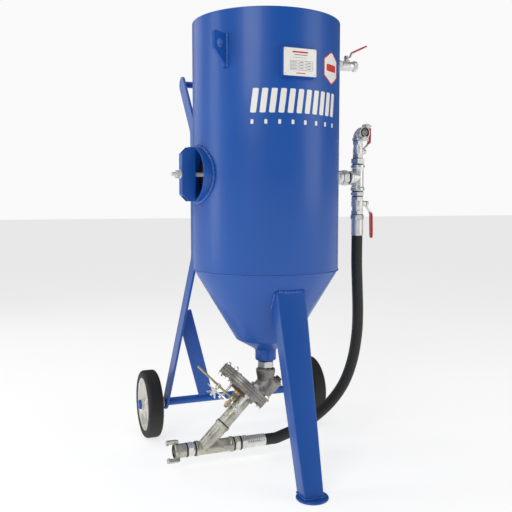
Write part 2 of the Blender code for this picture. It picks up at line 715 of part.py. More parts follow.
def upper_casting():
    """The cast inlet elbow with its clean-out boss, standing on the upper flange."""
    u, plug_u = 0.058, 0.076
    flange = spindle_rod("upper_casting", FLANGE_GAP, 0.0145, FLANGE_R, 28)
    run = rod("casting_run", (u, 0, 0.0100), (u, 0, 0.0740), 0.0330, 16, VALVE)
    boss = rod("casting_boss", (plug_u, 0, 0.0540), (plug_u, 0, 0.0820), 0.0195, 16, VALVE)
    inlet_piece = rod("casting_inlet", (0, 0, 0.2300), (0, 0, 0.2900), 0.0262, 16)
    collar = rod("casting_collar", (0, 0, 0.2760), (0, 0, 0.2896), 0.0305, 16)
    bores = [
        rod("casting_inlet_bore", (0, 0, 0.2400), (0, 0, 0.3), 0.0214),
        rod("casting_run_bore", (0.052, 0, -0.01), (0.052, 0, 0.0540), 0.0210, frame=VALVE),
        rod("casting_plug_bore", (plug_u, 0, 0.0340), (plug_u, 0, 0.09), 0.0128, frame=VALVE),
    ]
    finish(combine(flange, [run, boss, inlet_piece, collar], bores), CAST)
    plug = rod("cleanout_plug", (plug_u, 0, 0.0660), (plug_u, 0, 0.0840), 0.0123, frame=VALVE)
    head = rod("plug_head", (plug_u, 0, 0.0823), (plug_u, 0, 0.0880), 0.0155, frame=VALVE)
    square = rod("plug_square", (plug_u, 0, 0.0870), (plug_u, 0, 0.0960), 0.0115, 4, frame=VALVE)
    finish(combine(plug, [head, square]), CAST)


def lower_flange():
    flange = spindle_rod("lower_flange", -FLANGE_LOW_W, -FLANGE_GAP, FLANGE_R, 28)
    socket = rod("flange_socket", (FLOW_U, 0, -0.0290), (FLOW_U, 0, -0.0100), 0.0265, 16, VALVE)
    boss = spindle_rod("flange_boss", -0.0280, -0.0100, 0.0290, 16)
    bush = spindle_rod("flange_bush", BUSH_END_W, -0.0200, 0.0115)
    flow = rod("flange_flow", (FLOW_U, 0, -0.05), (FLOW_U, 0, 0.01), 0.0162, frame=VALVE)
    bores = [flow, spindle_rod("flange_spindle", -0.05, 0.01, 0.0060)]
    finish(combine(flange, [socket, boss, bush], bores), CAST)


def outlet_pipe():
    pipe = ring(0.0210, 0.0165, -0.1312, -0.0293)
    finish(turned("outlet_pipe", pipe, (FLOW_U, 0, 0), frame=VALVE), ZINC)


def around(radius, angle, w):
    return Vector((radius * math.cos(angle), radius * math.sin(angle), w))


def post(name, radius_out, angle, low, high, radius, sides=8):
    """A rod along the flange axis, radius_out from it."""
    ends = around(radius_out, angle, low), around(radius_out, angle, high)
    return rod(name, *ends, radius, sides, VALVE)


def lever_rod():
    """The lever on its spindle hub, with the clamp bolt that runs in the quadrant's slot."""
    half_eye = 0.0038
    hub = spindle_rod("metering_lever", LEVER_W - HUB_T / 2, LEVER_W + HUB_T / 2, 0.0112)
    ends = around(0.007, LEVER_ANGLE, LEVER_W), around(0.180, LEVER_ANGLE, LEVER_W)
    handle = rod("lever_handle", *ends, 0.0035, 8, VALVE)
    at = CLAMP_R, LEVER_ANGLE
    eye = post("lever_eye", *at, LEVER_W - half_eye, LEVER_W + half_eye, 0.0080, ROUND)
    bolt = post("lever_bolt", *at, LEVER_W, -0.0930, 0.0038)
    under_eye = LEVER_W - half_eye
    lock_nut = post("lever_lock_nut", *at, under_eye - 0.0060, under_eye + 0.0005, 0.0075, 6)
    bore = spindle_rod("lever_bore", LEVER_W - 0.01, LEVER_W + 0.01, 0.0060)
    finish(combine(hub, [handle, eye, bolt, lock_nut], [bore]), BRASS)


def arc(radius, start, end, steps=12):
    turns = [start + (end - start) * i / steps for i in range(steps + 1)]
    return [(radius * math.cos(turn), radius * math.sin(turn)) for turn in turns]


def quadrant():
    """The slotted arc that the lever is clamped to, on two long studs of the flange."""
    low, high = (math.radians(degrees) for degrees in (82, 273))
    outline = arc(0.0880, low, high) + arc(0.0620, high, low)
    middle, axes = (0, 0, QUADRANT_W), ((1, 0, 0), (0, 1, 0))
    plate = sheet_metal("lever_quadrant", outline, PLATE_T, middle, *axes, VALVE)
    slot_low, slot_high = (math.radians(degrees) for degrees in (105, 250))
    slot_half = 0.0043
    slot_outline = arc(CLAMP_R + slot_half, slot_low, slot_high)
    slot_outline += arc(CLAMP_R - slot_half, slot_high, slot_low)
    slot = sheet_metal("quadrant_slot", slot_outline, 0.01, middle, *axes, VALVE)
    studs = []
    for index, angle in enumerate(STUD_ANGLES):
        at = STUD_CIRCLE, angle
        studs.append(post(f"quadrant_stud_{index}", *at, -FLANGE_LOW_W - GAP, QUADRANT_W - 0.0100, 0.0045))
        studs.append(post(f"stud_nut_{index}", *at, QUADRANT_W, QUADRANT_W - 0.0070, 0.0085, 6))
        studs.append(post(f"stud_back_nut_{index}", *at, QUADRANT_W, QUADRANT_W + 0.0065, 0.0085, 6))
    finish(combine(plate, studs, [slot]), ZINC)


def wing_nut():
    top = QUADRANT_W - PLATE_T / 2 - GAP
    nut = post("wing_nut", CLAMP_R, LEVER_ANGLE, top, top - 0.0110, 0.0080, ROUND)
    centre = around(CLAMP_R, LEVER_ANGLE, top - 0.0050)
    out = around(1.0, LEVER_ANGLE, 0.0)
    across = around(1.0, LEVER_ANGLE + math.pi / 2, 0.0)
    wings = []
    for sign in (-1, 1):
        ends = centre + out * (0.004 * sign), centre + out * (0.0165 * sign) - Vector((0, 0, 0.0130))
        wings.append(flat_bar(f"wing_{sign}", *ends, 0.0028, 0.0100, across, VALVE))
    thread = post("wing_thread", CLAMP_R, LEVER_ANGLE, -0.06, -0.11, 0.0044)
    finish(combine(nut, wings, [thread]), ZINC)


# Blast side

def blast_outlet():
    x, y, z = LATERAL
    up = Vector((math.sin(VALVE_TILT), 0, math.cos(VALVE_TILT)))
    start = Vector((-0.2335, 0, z))
    junction = Vector(LATERAL)
    branch = rod("lateral_branch", junction, junction + up * 0.0952, 0.0215)
    collar = rod("lateral_collar", junction + up * 0.0860, junction + up * 0.0948, 0.0245)
    bore = rod("lateral_bore", junction, junction + up * 0.12, 0.0165)
    run = [(0, 0.1205, 0.0212, ROUND), (0.0004, 0.0090, 0.0240, ROUND), (0.1110, 0.1201, 0.0240, ROUND)]
    body = fitting("blast_lateral", start, (1, 0, 0), run, 0.0166, ZINC, extra=[branch, collar])
    combine(body, cut=[bore])
    left = [(0, 0.0310, 0.0195, ROUND), (0.0090, 0.0250, 0.0236, 6)]
    fitting("blast_nipple", (-0.2338, 0, z), (-1, 0, 0), left, 0.0155, ZINC)
    claw_coupling(
        "blast_coupling", (-0.2651, 0, z), (-1, 0, 0), 0.0362, 0.0215, 0.0255, 0.0155, 0.0345,
        spin=(0, 0.35, 0.937))
    right = [(0, 0.0252, 0.0195, ROUND), (0.0075, 0.0215, 0.0236, 6)]
    fitting("air_nipple", (-0.1127, 0, z), (1, 0, 0), right, 0.0155, ZINC)
    swivel = [
        (0, 0.0832, 0.0178, ROUND), (0.0030, 0.0200, 0.0232, 6), (0.0205, 0.0828, 0.0195, ROUND)]
    fitting("hose_fitting_lower", (-0.0872, 0, z), (1, 0, 0), swivel, 0.0130, ZINC)
    upper = [(0, 0.0690, 0.0178, ROUND), (0.0010, 0.0150, 0.0222, 6), (0.0185, 0.0686, 0.0195, ROUND)]
    fitting("hose_fitting_upper", (INLET_X, 0, 0.7747), (0, 0, -1), upper, 0.0130, ZINC)


HOSE_ROUTE = (
    (-0.0034, 0.0, 0.0580), (0.016, 0.0, 0.0580), (0.036, 0.0, 0.0585), (0.062, 0.002, 0.0645),
    (0.110, 0.004, 0.0780), (0.170, 0.006, 0.1070), (0.2345, 0.007, 0.1525), (0.2845, 0.006, 0.2140),
    (0.3150, 0.005, 0.2900), (0.3285, 0.002, 0.3740), (0.3305, 0.0, 0.4500), (0.3275, 0.0, 0.5350),
    (0.3243, 0.0, 0.6100), (0.324, 0.0, 0.6720), (0.324, 0.0, 0.6900), (0.324, 0.0, 0.7052),
)
HOSE_STEPS = 2


def smooth_route(points, steps):
    """Catmull-Rom curve through the points, with steps pieces for each span."""
    knots = [Vector(p) for p in points]
    ends = [knots[0] * 2 - knots[1], *knots, knots[-1] * 2 - knots[-2]]
    curve = []
    for a, b, c, d in zip(ends, ends[1:], ends[2:], ends[3:]):
        for i in range(steps):
            t = i / steps
            curve.append(0.5 * (
                2 * b + (c - a) * t + (2 * a - 5 * b + 4 * c - d) * t ** 2
                + (3 * b - a - 3 * c + d) * t ** 3))
    return [*curve, knots[-1]]


def hose():
    finish(tube_curve("air_hose", smooth_route(HOSE_ROUTE, HOSE_STEPS), HOSE_R, 2, caps=True), RUBBER)


shell()
cone()
filling_head()
popup_valve()
standpipe()
lugs()
nameplate()
hatch()
trolley()
inlet()
vent()
metering()
blast_outlet()
hose()
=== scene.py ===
"""The visual model of the mobile blasting pot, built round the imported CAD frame.

Lengths are in metres, and in millimetres inside mm().
"""

import math
from math import copysign, cos, pi, radians, sin, sqrt, tau

import bmesh
import bpy
from mathutils import Matrix, Vector, noise


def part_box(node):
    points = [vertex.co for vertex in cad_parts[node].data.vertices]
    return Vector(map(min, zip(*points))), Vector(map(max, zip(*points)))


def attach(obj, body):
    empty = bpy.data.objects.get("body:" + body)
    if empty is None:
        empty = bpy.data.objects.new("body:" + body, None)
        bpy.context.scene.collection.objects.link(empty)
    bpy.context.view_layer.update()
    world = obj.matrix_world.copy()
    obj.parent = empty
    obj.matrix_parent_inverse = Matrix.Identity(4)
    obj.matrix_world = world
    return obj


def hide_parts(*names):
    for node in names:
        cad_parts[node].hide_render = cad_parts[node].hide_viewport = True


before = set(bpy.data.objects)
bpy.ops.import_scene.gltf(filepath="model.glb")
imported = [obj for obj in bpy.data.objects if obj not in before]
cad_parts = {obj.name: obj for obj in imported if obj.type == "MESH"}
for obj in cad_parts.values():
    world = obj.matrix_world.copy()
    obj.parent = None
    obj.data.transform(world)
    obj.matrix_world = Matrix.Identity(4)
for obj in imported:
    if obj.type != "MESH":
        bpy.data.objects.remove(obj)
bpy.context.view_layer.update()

UP, RIGHT, FRONT = Vector((0, 0, 1)), Vector((1, 0, 0)), Vector((0, -1, 0))
LEFT = Vector((-1, 0, 0))
HERE = Matrix.Identity(4)
SIDES = ((-1, "left"), (1, "right"))


def middle(node):
    low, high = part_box(node)
    return (Vector(low) + Vector(high)) / 2


TANK_AT = middle("tank_shell")
TRUNK = Matrix.Translation((TANK_AT.x, TANK_AT.y, 0))
HATCH = TRUNK @ Matrix.Rotation(radians(6), 4, "Z")
VALVE = TRUNK @ Matrix.Translation((-0.0738, 0, 0.2422)) @ Matrix.Rotation(radians(45), 4, "Y")
TANK_R = 0.225
HATCH_Z = 0.897
INLET_X = 0.324              # the upright line of air fittings
PIPE_Z = 0.894               # the air inlet into the tank
VENT_Z = 1.251
BLAST_Z = 0.058              # the blast outlet and the hose's lower end
AXLE = (0.329, 0.116)        # y, z
HANDLE = (0.285, 1.209)      # y, z
CONE_KNUCKLE = (0.094, 0.388)  # radius, z
SEAM_Z = 0.608               # where the cone meets the wall
LEG_FOOT, LEG_TOP = Vector((0.003, -0.3265, 0.0073)), Vector((0, -0.1685, 0.563))
LEG_HALF_Y = 0.0286
# Round the metering valve's axis
BOLT_CIRCLE = 0.079
SLOT_R = 0.073
NECK_X, PIPE_X, PLUG_X = 0.058, 0.034, 0.076
QUADRANT_ENDS = (87.5, 267.5)  # degrees

# Camera and lights

scene = bpy.context.scene
scene.view_settings.view_transform = "Standard"


def added(name, data):
    obj = bpy.data.objects.new(name, data)
    scene.collection.objects.link(obj)
    return obj


def aimed(name, data, place, target):
    obj = added(name, data)
    obj.location = place
    obj.rotation_euler = (Vector(target) - Vector(place)).to_track_quat("-Z", "Y").to_euler()


camera = bpy.data.cameras.new("camera")
camera.lens = 48.35
camera.sensor_width = 36.0
camera_at = added("camera", camera)
camera_at.location = (-0.82, -2.027, 0.819)
camera_at.rotation_euler = (radians(90 - 4.57), 0.0, radians(-21.07))
scene.camera = camera_at


def softbox(name, place, target, size, power, height=None):
    lamp = bpy.data.lights.new(name, "AREA")
    lamp.shape = "RECTANGLE"
    lamp.size = size
    lamp.size_y = height or size
    lamp.energy = power
    aimed(name, lamp, place, target)


softbox("key", (-2.4, -2.6, 2.6), (0, 0, 0.7), 1.6, 40)
softbox("fill", (2.6, -2.0, 1.7), (0, 0, 0.6), 1.8, 24, 2.4)
softbox("top", (0.0, 0.4, 3.4), (0, 0, 0.9), 2.4, 14)
softbox("back", (-1.5, 2.6, 1.8), (0, 0, 0.6), 1.6, 9)
softbox("edge", (-2.3, 0.5, 1.2), (-0.2, 0, 0.7), 0.7, 13, 2.2)


def studio():
    """A white backdrop that lights the object less brightly than it looks."""
    world = bpy.data.worlds.new("studio")
    world.use_nodes = True
    tree = world.node_tree
    backdrop = tree.nodes["Background"]
    backdrop.inputs["Color"].default_value = (0.95, 0.95, 0.95, 1.0)
    light = tree.nodes.new("ShaderNodeBackground")
    light.inputs["Color"].default_value = (1.0, 1.0, 1.0, 1.0)
    light.inputs["Strength"].default_value = 0.16
    rays = tree.nodes.new("ShaderNodeLightPath")
    mix = tree.nodes.new("ShaderNodeMixShader")
    tree.links.new(rays.outputs["Is Camera Ray"], mix.inputs["Fac"])
    tree.links.new(light.outputs["Background"], mix.inputs[1])
    tree.links.new(backdrop.outputs["Background"], mix.inputs[2])
    tree.links.new(mix.outputs["Shader"], tree.nodes["World Output"].inputs["Surface"])
    scene.world = world


studio()

# Materials


def link_noise(tree, mapping, scale, detail=3.0):
    node = tree.nodes.new("ShaderNodeTexNoise")
    node.inputs["Scale"].default_value = scale
    node.inputs["Detail"].default_value = detail
    tree.links.new(mapping.outputs["Vector"], node.inputs["Vector"])
    return node.outputs["Fac"]


def link_range(tree, value, low, high, to_low, to_high):
    node = tree.nodes.new("ShaderNodeMapRange")
    node.interpolation_type = "SMOOTHSTEP"
    tree.links.new(value, node.inputs["Value"])
    for name, number in (
            ("From Min", low), ("From Max", high), ("To Min", to_low), ("To Max", to_high)):
        node.inputs[name].default_value = number
    return node.outputs["Result"]


def link_mix(tree, share, first, second):
    """first and second are colours, or the output of a node."""
    node = tree.nodes.new("ShaderNodeMix")
    node.data_type = "RGBA"
    tree.links.new(share, node.inputs[0])
    for socket, colour in ((node.inputs[6], first), (node.inputs[7], second)):
        if isinstance(colour, tuple):
            socket.default_value = (*colour, 1.0)
        else:
            tree.links.new(colour, socket)
    return node.outputs[2]


def look(name, slot, colour, second, rough, metallic=0.0, coarse=5.0, fine=160.0, bump=0.15,
         depth=0.0004, stain=None, stain_from=0.58, coat=0.0, stretch=(1, 1, 1), speck=0.0):
    """Two tones in broad patches, an optional stain, uneven gloss and a fine bump."""
    material = bpy.data.materials.new(name)
    material.use_nodes = True
    tree = material.node_tree
    shader = tree.nodes["Principled BSDF"]
    shader.inputs["Metallic"].default_value = metallic
    shader.inputs["Coat Weight"].default_value = coat
    shader.inputs["Coat Roughness"].default_value = 0.12
    place = tree.nodes.new("ShaderNodeTexCoord")
    mapping = tree.nodes.new("ShaderNodeMapping")
    mapping.inputs["Scale"].default_value = stretch
    tree.links.new(place.outputs["Object"], mapping.inputs["Vector"])
    broad = link_noise(tree, mapping, coarse)
    small = link_noise(tree, mapping, fine, 2.0)
    tone = link_mix(tree, link_range(tree, broad, 0.25, 0.75, 0.0, 1.0), colour, second)
    if stain:
        patches = link_noise(tree, mapping, coarse * 3.1, 5.0)
        share = link_range(tree, patches, stain_from, stain_from + 0.12, 0.0, 0.85)
        tone = link_mix(tree, share, tone, stain)
    if speck:
        dark = tuple(c * 0.55 for c in second)
        tone = link_mix(tree, link_range(tree, small, 0.5, 0.75, 0.0, speck), tone, dark)
    tree.links.new(tone, shader.inputs["Base Color"])
    tree.links.new(link_range(tree, broad, 0.3, 0.7, *rough), shader.inputs["Roughness"])
    bumps = tree.nodes.new("ShaderNodeBump")
    bumps.inputs["Strength"].default_value = bump
    bumps.inputs["Distance"].default_value = depth
    tree.links.new(small, bumps.inputs["Height"])
    tree.links.new(bumps.outputs["Normal"], shader.inputs["Normal"])
    return material, slot


PAINT = look("blue_enamel", "tank_blue", (0.004, 0.084, 0.4), (0.006, 0.096, 0.44), (0.34, 0.44),
             coarse=3.0, fine=130, bump=0.1, depth=0.0006, coat=0.1)
WELD = look("painted_weld", "tank_blue", (0.0045, 0.088, 0.41), (0.009, 0.104, 0.46), (0.24, 0.36),
            fine=320, bump=0.3, coat=0.4)
ZINC = look("galvanised_iron", "zinc", (0.72, 0.72, 0.68), (0.88, 0.88, 0.84), (0.26, 0.46), 0.72,
            coarse=38, fine=420, bump=0.35, depth=0.0005, stain=(0.34, 0.3, 0.22), stain_from=0.66,
            speck=0.25)
STAINED = look("worn_galvanised_iron", "zinc", (0.42, 0.41, 0.34), (0.68, 0.67, 0.58), (0.3, 0.5),
               0.72, coarse=26, fine=380, bump=0.45, depth=0.0006, stain=(0.25, 0.2, 0.12),
               stain_from=0.55, speck=0.45)
MACHINED = look("machined_iron", "casting", (0.3, 0.285, 0.26), (0.44, 0.42, 0.39), (0.3, 0.46),
    0.75, coarse=45, fine=300, bump=0.2, stain=(0.24, 0.21, 0.16), stain_from=0.64, speck=0.3)
CASTING = look("rough_casting", "casting", (0.25, 0.235, 0.21), (0.42, 0.4, 0.37), (0.34, 0.54),
    0.65, coarse=30, fine=210, bump=0.7, depth=0.001, stain=(0.2, 0.17, 0.12), stain_from=0.56,
    speck=0.5)
# Dark brown: the square plug's own colour, and painted shade on the spindle boss under the lower
# flange.
BROWN_CASTING_AND_SHADE = look("dark_casting_and_painted_shade", "casting", (0.085, 0.06, 0.042), (0.13, 0.1, 0.075), (0.45, 0.62), 0.4,
             coarse=40, fine=260, bump=0.6, depth=0.0008, speck=0.4)
BRASS = look("yellow_zinc_rod", "brass", (0.46, 0.4, 0.2), (0.6, 0.53, 0.3), (0.24, 0.4), 0.85,
             coarse=60, fine=500, stain=(0.3, 0.22, 0.08), stain_from=0.62)
COPPER = look("coppery_nut", "brass", (0.55, 0.33, 0.16), (0.68, 0.46, 0.26), (0.24, 0.4), 0.9,
              coarse=80, fine=500, stain=(0.28, 0.16, 0.07), stain_from=0.6)
SPRING = look("spring_wire", "zinc", (0.2, 0.22, 0.19), (0.3, 0.32, 0.28), (0.3, 0.45), 0.75,
              coarse=90, fine=600, bump=0.2)
RUBBER = look("black_rubber", "rubber", (0.01, 0.01, 0.01), (0.018, 0.018, 0.018), (0.48, 0.66),
              coarse=30, fine=500, bump=0.25)
TYRE = look("tyre_rubber", "tyre", (0.011, 0.011, 0.009), (0.02, 0.019, 0.016), (0.56, 0.76),
    coarse=14, fine=260, bump=0.45, depth=0.0006, stain=(0.034, 0.032, 0.027), stain_from=0.62)
HOSE = look("hose_rubber", "hose", (0.01, 0.01, 0.009), (0.017, 0.017, 0.016), (0.46, 0.62),
            coarse=9, fine=360, bump=0.5, depth=0.0005, stretch=(1, 1, 0.45))
RED = look("dipped_vinyl", "red_grip", (0.5, 0.016, 0.02), (0.6, 0.024, 0.028), (0.24, 0.34),
           coarse=40, fine=240, bump=0.12, coat=0.5)
DISC = look("pressed_disc", "zinc", (0.66, 0.65, 0.59), (0.78, 0.77, 0.71), (0.28, 0.44), 0.35,
            coarse=16, fine=300, bump=0.12, stain=(0.5, 0.48, 0.42), stain_from=0.62)
WHITE = look("white_vinyl", "label", (0.93, 0.91, 0.86), (0.98, 0.96, 0.91), (0.3, 0.4), coarse=8,
             fine=300, bump=0.05)
INK = look("grey_ink", "label", (0.16, 0.17, 0.21), (0.22, 0.23, 0.27), (0.4, 0.5), coarse=30,
           fine=300, bump=0.05)
SIGNAL = look("red_ink", "label", (0.62, 0.03, 0.035), (0.72, 0.05, 0.05), (0.32, 0.42), coarse=30,
              fine=300, bump=0.05)

# Mesh making


def mm(text):
    """Points written "x y, x y, ..." or "x y z, ..." in millimetres."""
    return [tuple(float(number) / 1000 for number in pair.split()) for pair in text.split(",")]


def angles(count):
    """Even steps of a whole turn."""
    return [tau * i / count for i in range(count)]


def oval(radius, z, half_wide, half_tall, count):
    """The (radius, height) profile of a round bead."""
    return [(radius + half_wide * cos(t), z + half_tall * sin(t)) for t in angles(count)]


def shifted(x, y=0.0):
    return Matrix.Translation((x, y, 0))


def polar(radius, degrees):
    """A frame moved out from Z."""
    return shifted(radius * cos(radians(degrees)), radius * sin(radians(degrees)))


def along(start, direction, spin=UP):
    """A frame at start whose Z points along direction and whose X is nearest to spin."""
    z = Vector(direction).normalized()
    x = Vector(spin) - z * Vector(spin).dot(z)
    x = z.orthogonal().normalized() if x.length < 0.001 else x.normalized()
    turned = Matrix((x, z.cross(x), z)).transposed().to_4x4()
    turned.translation = Vector(start)
    return turned


def curved(start, corner, end, steps):
    """Points from start to end on a curve that turns at corner."""
    return [start * (1 - t) ** 2 + corner * 2 * t * (1 - t) + end * t * t
            for t in (k / steps for k in range(steps + 1))]


def fillet(points, radius, closed=True, steps=3):
    """Rounds the corners of a flat outline."""
    count, result = len(points), []
    for i, point in enumerate(points):
        if not closed and i in (0, count - 1):
            result.append(tuple(point))
            continue
        corner = Vector(point)
        back, ahead = Vector(points[i - 1]) - corner, Vector(points[(i + 1) % count]) - corner
        cut = min(radius, 0.45 * back.length, 0.45 * ahead.length)
        start, end = corner + back.normalized() * cut, corner + ahead.normalized() * cut
        result += [tuple(point) for point in curved(start, corner, end, steps)]
    return result


def carried(path, up, closed):
    """Each point of the path with its side and up directions, carried along without twist."""
    count, result, up = len(path), [], Vector(up)
    for i, point in enumerate(path):
        before = path[i - 1] if closed or i else point
        after = path[(i + 1) % count] if closed or i < count - 1 else point
        run = (after - before).normalized()
        up = (up - run * up.dot(run)).normalized()
        result.append((point, run.cross(up), up))
    return result


def spaced(path, step, closed=False):
    """The path's points again, about step apart."""
    path = [Vector(p) for p in path]
    if closed:
        path.append(path[0])
    lengths = [0.0]
    for a, b in zip(path, path[1:]):
        lengths.append(lengths[-1] + (b - a).length)
    count = max(2, round(lengths[-1] / step))
    result, at = [], 0
    for i in range(count if closed else count + 1):
        want = lengths[-1] * i / count
        while at < len(path) - 2 and lengths[at + 1] < want:
            at += 1
        share = (want - lengths[at]) / max(lengths[at + 1] - lengths[at], 1e-9)
        result.append(path[at].lerp(path[at + 1], share))
    return result


class Shape:
    """Closed forms gathered in one mesh, placed in a base frame."""

    def __init__(self, base=TRUNK):
        self.base = base
        self.mesh = bmesh.new()

    def skin(self, rows, place=HERE, closed=False):
        """Joins loops of points. closed joins the last to the first, else both ends are capped."""
        to_row = self.base @ place
        made = [[self.mesh.verts.new(to_row @ Vector(p)) for p in row] for row in rows]
        for a, b in zip(made, made[1:] + made[:1] if closed else made[1:]):
            for i in range(len(a)):
                j = (i + 1) % len(a)
                self.mesh.faces.new((a[i], a[j], b[j], b[i]))
        if not closed:
            self.mesh.faces.new(made[0][::-1])
            self.mesh.faces.new(made[-1])
        return self

    def turn(self, profile, place=HERE, sides=64, soft=0.0, closed=True, steps=3):
        """Turns (radius, height) points round Z. soft rounds the corners."""
        if soft:
            profile = fillet(profile, soft, closed, steps)
        around = [(cos(t), sin(t)) for t in angles(sides)]
        rows = [[(r * c, r * s, z) for c, s in around] for r, z in profile]
        return self.skin(rows, place, closed)

    def solid(self, profile, place=HERE, sides=64, soft=0.0):
        """Turns an open profile and caps both ends."""
        (first, low), (last, high) = profile[0], profile[-1]
        ends = (first * 0.4, low), (last * 0.4, high)
        return self.turn([ends[0], *profile, ends[1]], place, sides, soft, closed=False)

    def ring(self, inner, outer, low, high, place=HERE, sides=64, soft=0.0):
        """A tube with flat ends."""
        profile = [(outer, low), (outer, high), (inner, high), (inner, low)]
        return self.turn(profile, place, sides, soft)

    def rod(self, radius, low, high, place=HERE, sides=48, soft=0.0006):
        return self.solid([(radius, low), (radius, high)], place, sides, soft)

    def hexagon(self, radius, low, high, place=HERE, bore=None):
        """A hexagon, radius to its corners, whose corners a turned cone takes off at both ends."""
        flat = cos(pi / 6)
        trim = radius * 0.905
        outer = []
        for turn in angles(72):
            reach = radius * flat / cos((turn % (pi / 3)) - pi / 6)
            outer.append((turn, reach, max(0.0, reach - trim) * 0.58))
        trimmed = [(t, min(r, trim)) for t, r, _ in outer]
        rows = [
            [(r * cos(t), r * sin(t), low) for t, r in trimmed],
            [(r * cos(t), r * sin(t), low + drop) for t, r, drop in outer],
            [(r * cos(t), r * sin(t), high - drop) for t, r, drop in outer],
            [(r * cos(t), r * sin(t), high) for t, r in trimmed],
        ]
        if bore:
            rows += [[(bore * cos(t), bore * sin(t), z) for t in angles(72)] for z in (high, low)]
        return self.skin(rows, place, closed=bool(bore))

    def sector(self, inner, outer, centre, half, low, high, place=HERE, steps=10):
        """A block bent round Z: from inner to outer radius, half each side of the angle centre."""
        corners = (inner, low), (outer, low), (outer, high), (inner, high)
        turns = [centre + half * (2 * i / steps - 1) for i in range(steps + 1)]
        return self.skin([[(r * cos(t), r * sin(t), z) for r, z in corners] for t in turns], place)

    def pipe(self, path, radius, up=UP, sides=24):
        """A round bar carried along the path."""
        section = [(radius * cos(t), radius * sin(t)) for t in angles(sides)]
        return self.skin([
            [point + side * a + above * b for a, b in section]
            for point, side, above in carried([Vector(p) for p in path], up, False)])

    def weld(self, path, radius, closed=False, up=UP, pitch=0.0032):
        """A weld bead with a ripple for each pass of the electrode."""
        path = spaced(path, pitch / 4, closed)
        rows = []
        for i, (point, side, above) in enumerate(carried(path, up, closed)):
            swell = 1 + 0.13 * cos(i * pi / 2) + 0.22 * noise.noise(point * 90)
            rows.append([
                point + (side * cos(t) + above * sin(t)) * radius * swell
                for t in angles(10)])
        return self.skin(rows, closed=closed)

    def block(self, x, y, z, place=HERE):
        """A box between the (low, high) pairs x, y and z."""
        loop = [(x[0], y[0]), (x[1], y[0]), (x[1], y[1]), (x[0], y[1])]
        return self.skin([[(a, b, height) for a, b in loop] for height in z], place)


def bevelled(obj, width):
    bevel = obj.modifiers.new("Bevel", "BEVEL")
    bevel.width = width
    bevel.segments = 3
    bevel.limit_method = "ANGLE"
    bevel.angle_limit = radians(32)
    bevel.harden_normals = True


def smoothed(mesh, sharp=38):
    mesh.shade_smooth()
    mesh.set_sharp_from_angle(angle=radians(sharp))


def piece(name, shape, finish, body="frame", node=None, bevel=0.0, sharp=38):
    """Makes the shape a piece of the object that moves with a CAD body."""
    made = shape.mesh
    bmesh.ops.remove_doubles(made, verts=made.verts, dist=1e-6)
    bmesh.ops.dissolve_degenerate(made, dist=1e-7, edges=made.edges)
    bmesh.ops.recalc_face_normals(made, faces=made.faces)
    mesh = bpy.data.meshes.new(name)
    made.to_mesh(mesh)
    made.free()
    obj = added(name, mesh)
    material, slot = finish
    mesh.materials.append(material)
    smoothed(mesh, sharp)
    if bevel:
        bevelled(obj, bevel)
    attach(obj, body)
    if node:
        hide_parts(node)
    return obj


def kept(node, finish, bevel=0.0):
    """A CAD node that is shown as it is, with its edges softened and a finished surface."""
    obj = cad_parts[node]
    obj.data.materials.clear()
    obj.data.materials.append(finish[0])
    if bevel:
        bevelled(obj, bevel)


# Air hose, the one cord

HOSE_R = 0.018
HOSE_ROUTE = mm(
    "-3.4 0 58, 16 0 58, 36 0 58.5, 62 2 64.5, 110 4 78, 170 6 107, 234.5 7 152.5, "
    "284.5 6 214, 315 5 290, 328.5 2 374, 330.5 0 450, 327.5 0 535, 324.3 0 610, 324 0 672, "
    "324 0 690, 324 0 705.2")


def smooth_route(points, steps):
    """Catmull-Rom curve through the points, with steps pieces for each span."""
    knots = [Vector(p) for p in points]
    ends = [knots[0] * 2 - knots[1], *knots, knots[-1] * 2 - knots[-2]]
    curve = []
    for a, b, c, d in zip(ends, ends[1:], ends[2:], ends[3:]):
        for i in range(steps):
            t = i / steps
            curve.append(0.5 * (
                2 * b + (c - a) * t + (2 * a - 5 * b + 4 * c - d) * t ** 2
                + (3 * b - a - 3 * c + d) * t ** 3))
    return [*curve, knots[-1]]


def hose():
    route = [TRUNK @ p for p in smooth_route(HOSE_ROUTE, 4)]
    curve = bpy.data.curves.new("air_hose_tube", "CURVE")
    curve.dimensions = "3D"
    curve.bevel_depth = HOSE_R
    curve.bevel_resolution = 10
    curve.use_fill_caps = True
    spline = curve.splines.new("POLY")
    spline.points.add(len(route) - 1)
    for point, place in zip(spline.points, route):
        point.co = (*place, 1.0)
    spline.use_smooth = True
    obj = added("air_hose_tube", curve)
    curve.materials.append(HOSE[0])
    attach(obj, "frame")
    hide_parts("air_hose")
    length = sum((b - a).length for a, b in zip(route, route[1:]))
    tuple(route[0])


hose()

# Vessel


def on_tank(degrees, radius, z):
    """A point at an angle from the front, towards the right."""
    turn = radians(degrees)
    return Vector((radius * sin(turn), -radius * cos(turn), z))


def facing(degrees, radius, z):
    """A frame on the tank: X to the right, Y up, Z straight out."""
    turn = radians(degrees)
    return along(on_tank(degrees, radius, z), on_tank(degrees, 1, 0), (cos(turn), sin(turn), 0))


def circle(radius, z, count=180):
    return [(radius * cos(t), radius * sin(t), z) for t in angles(count)]


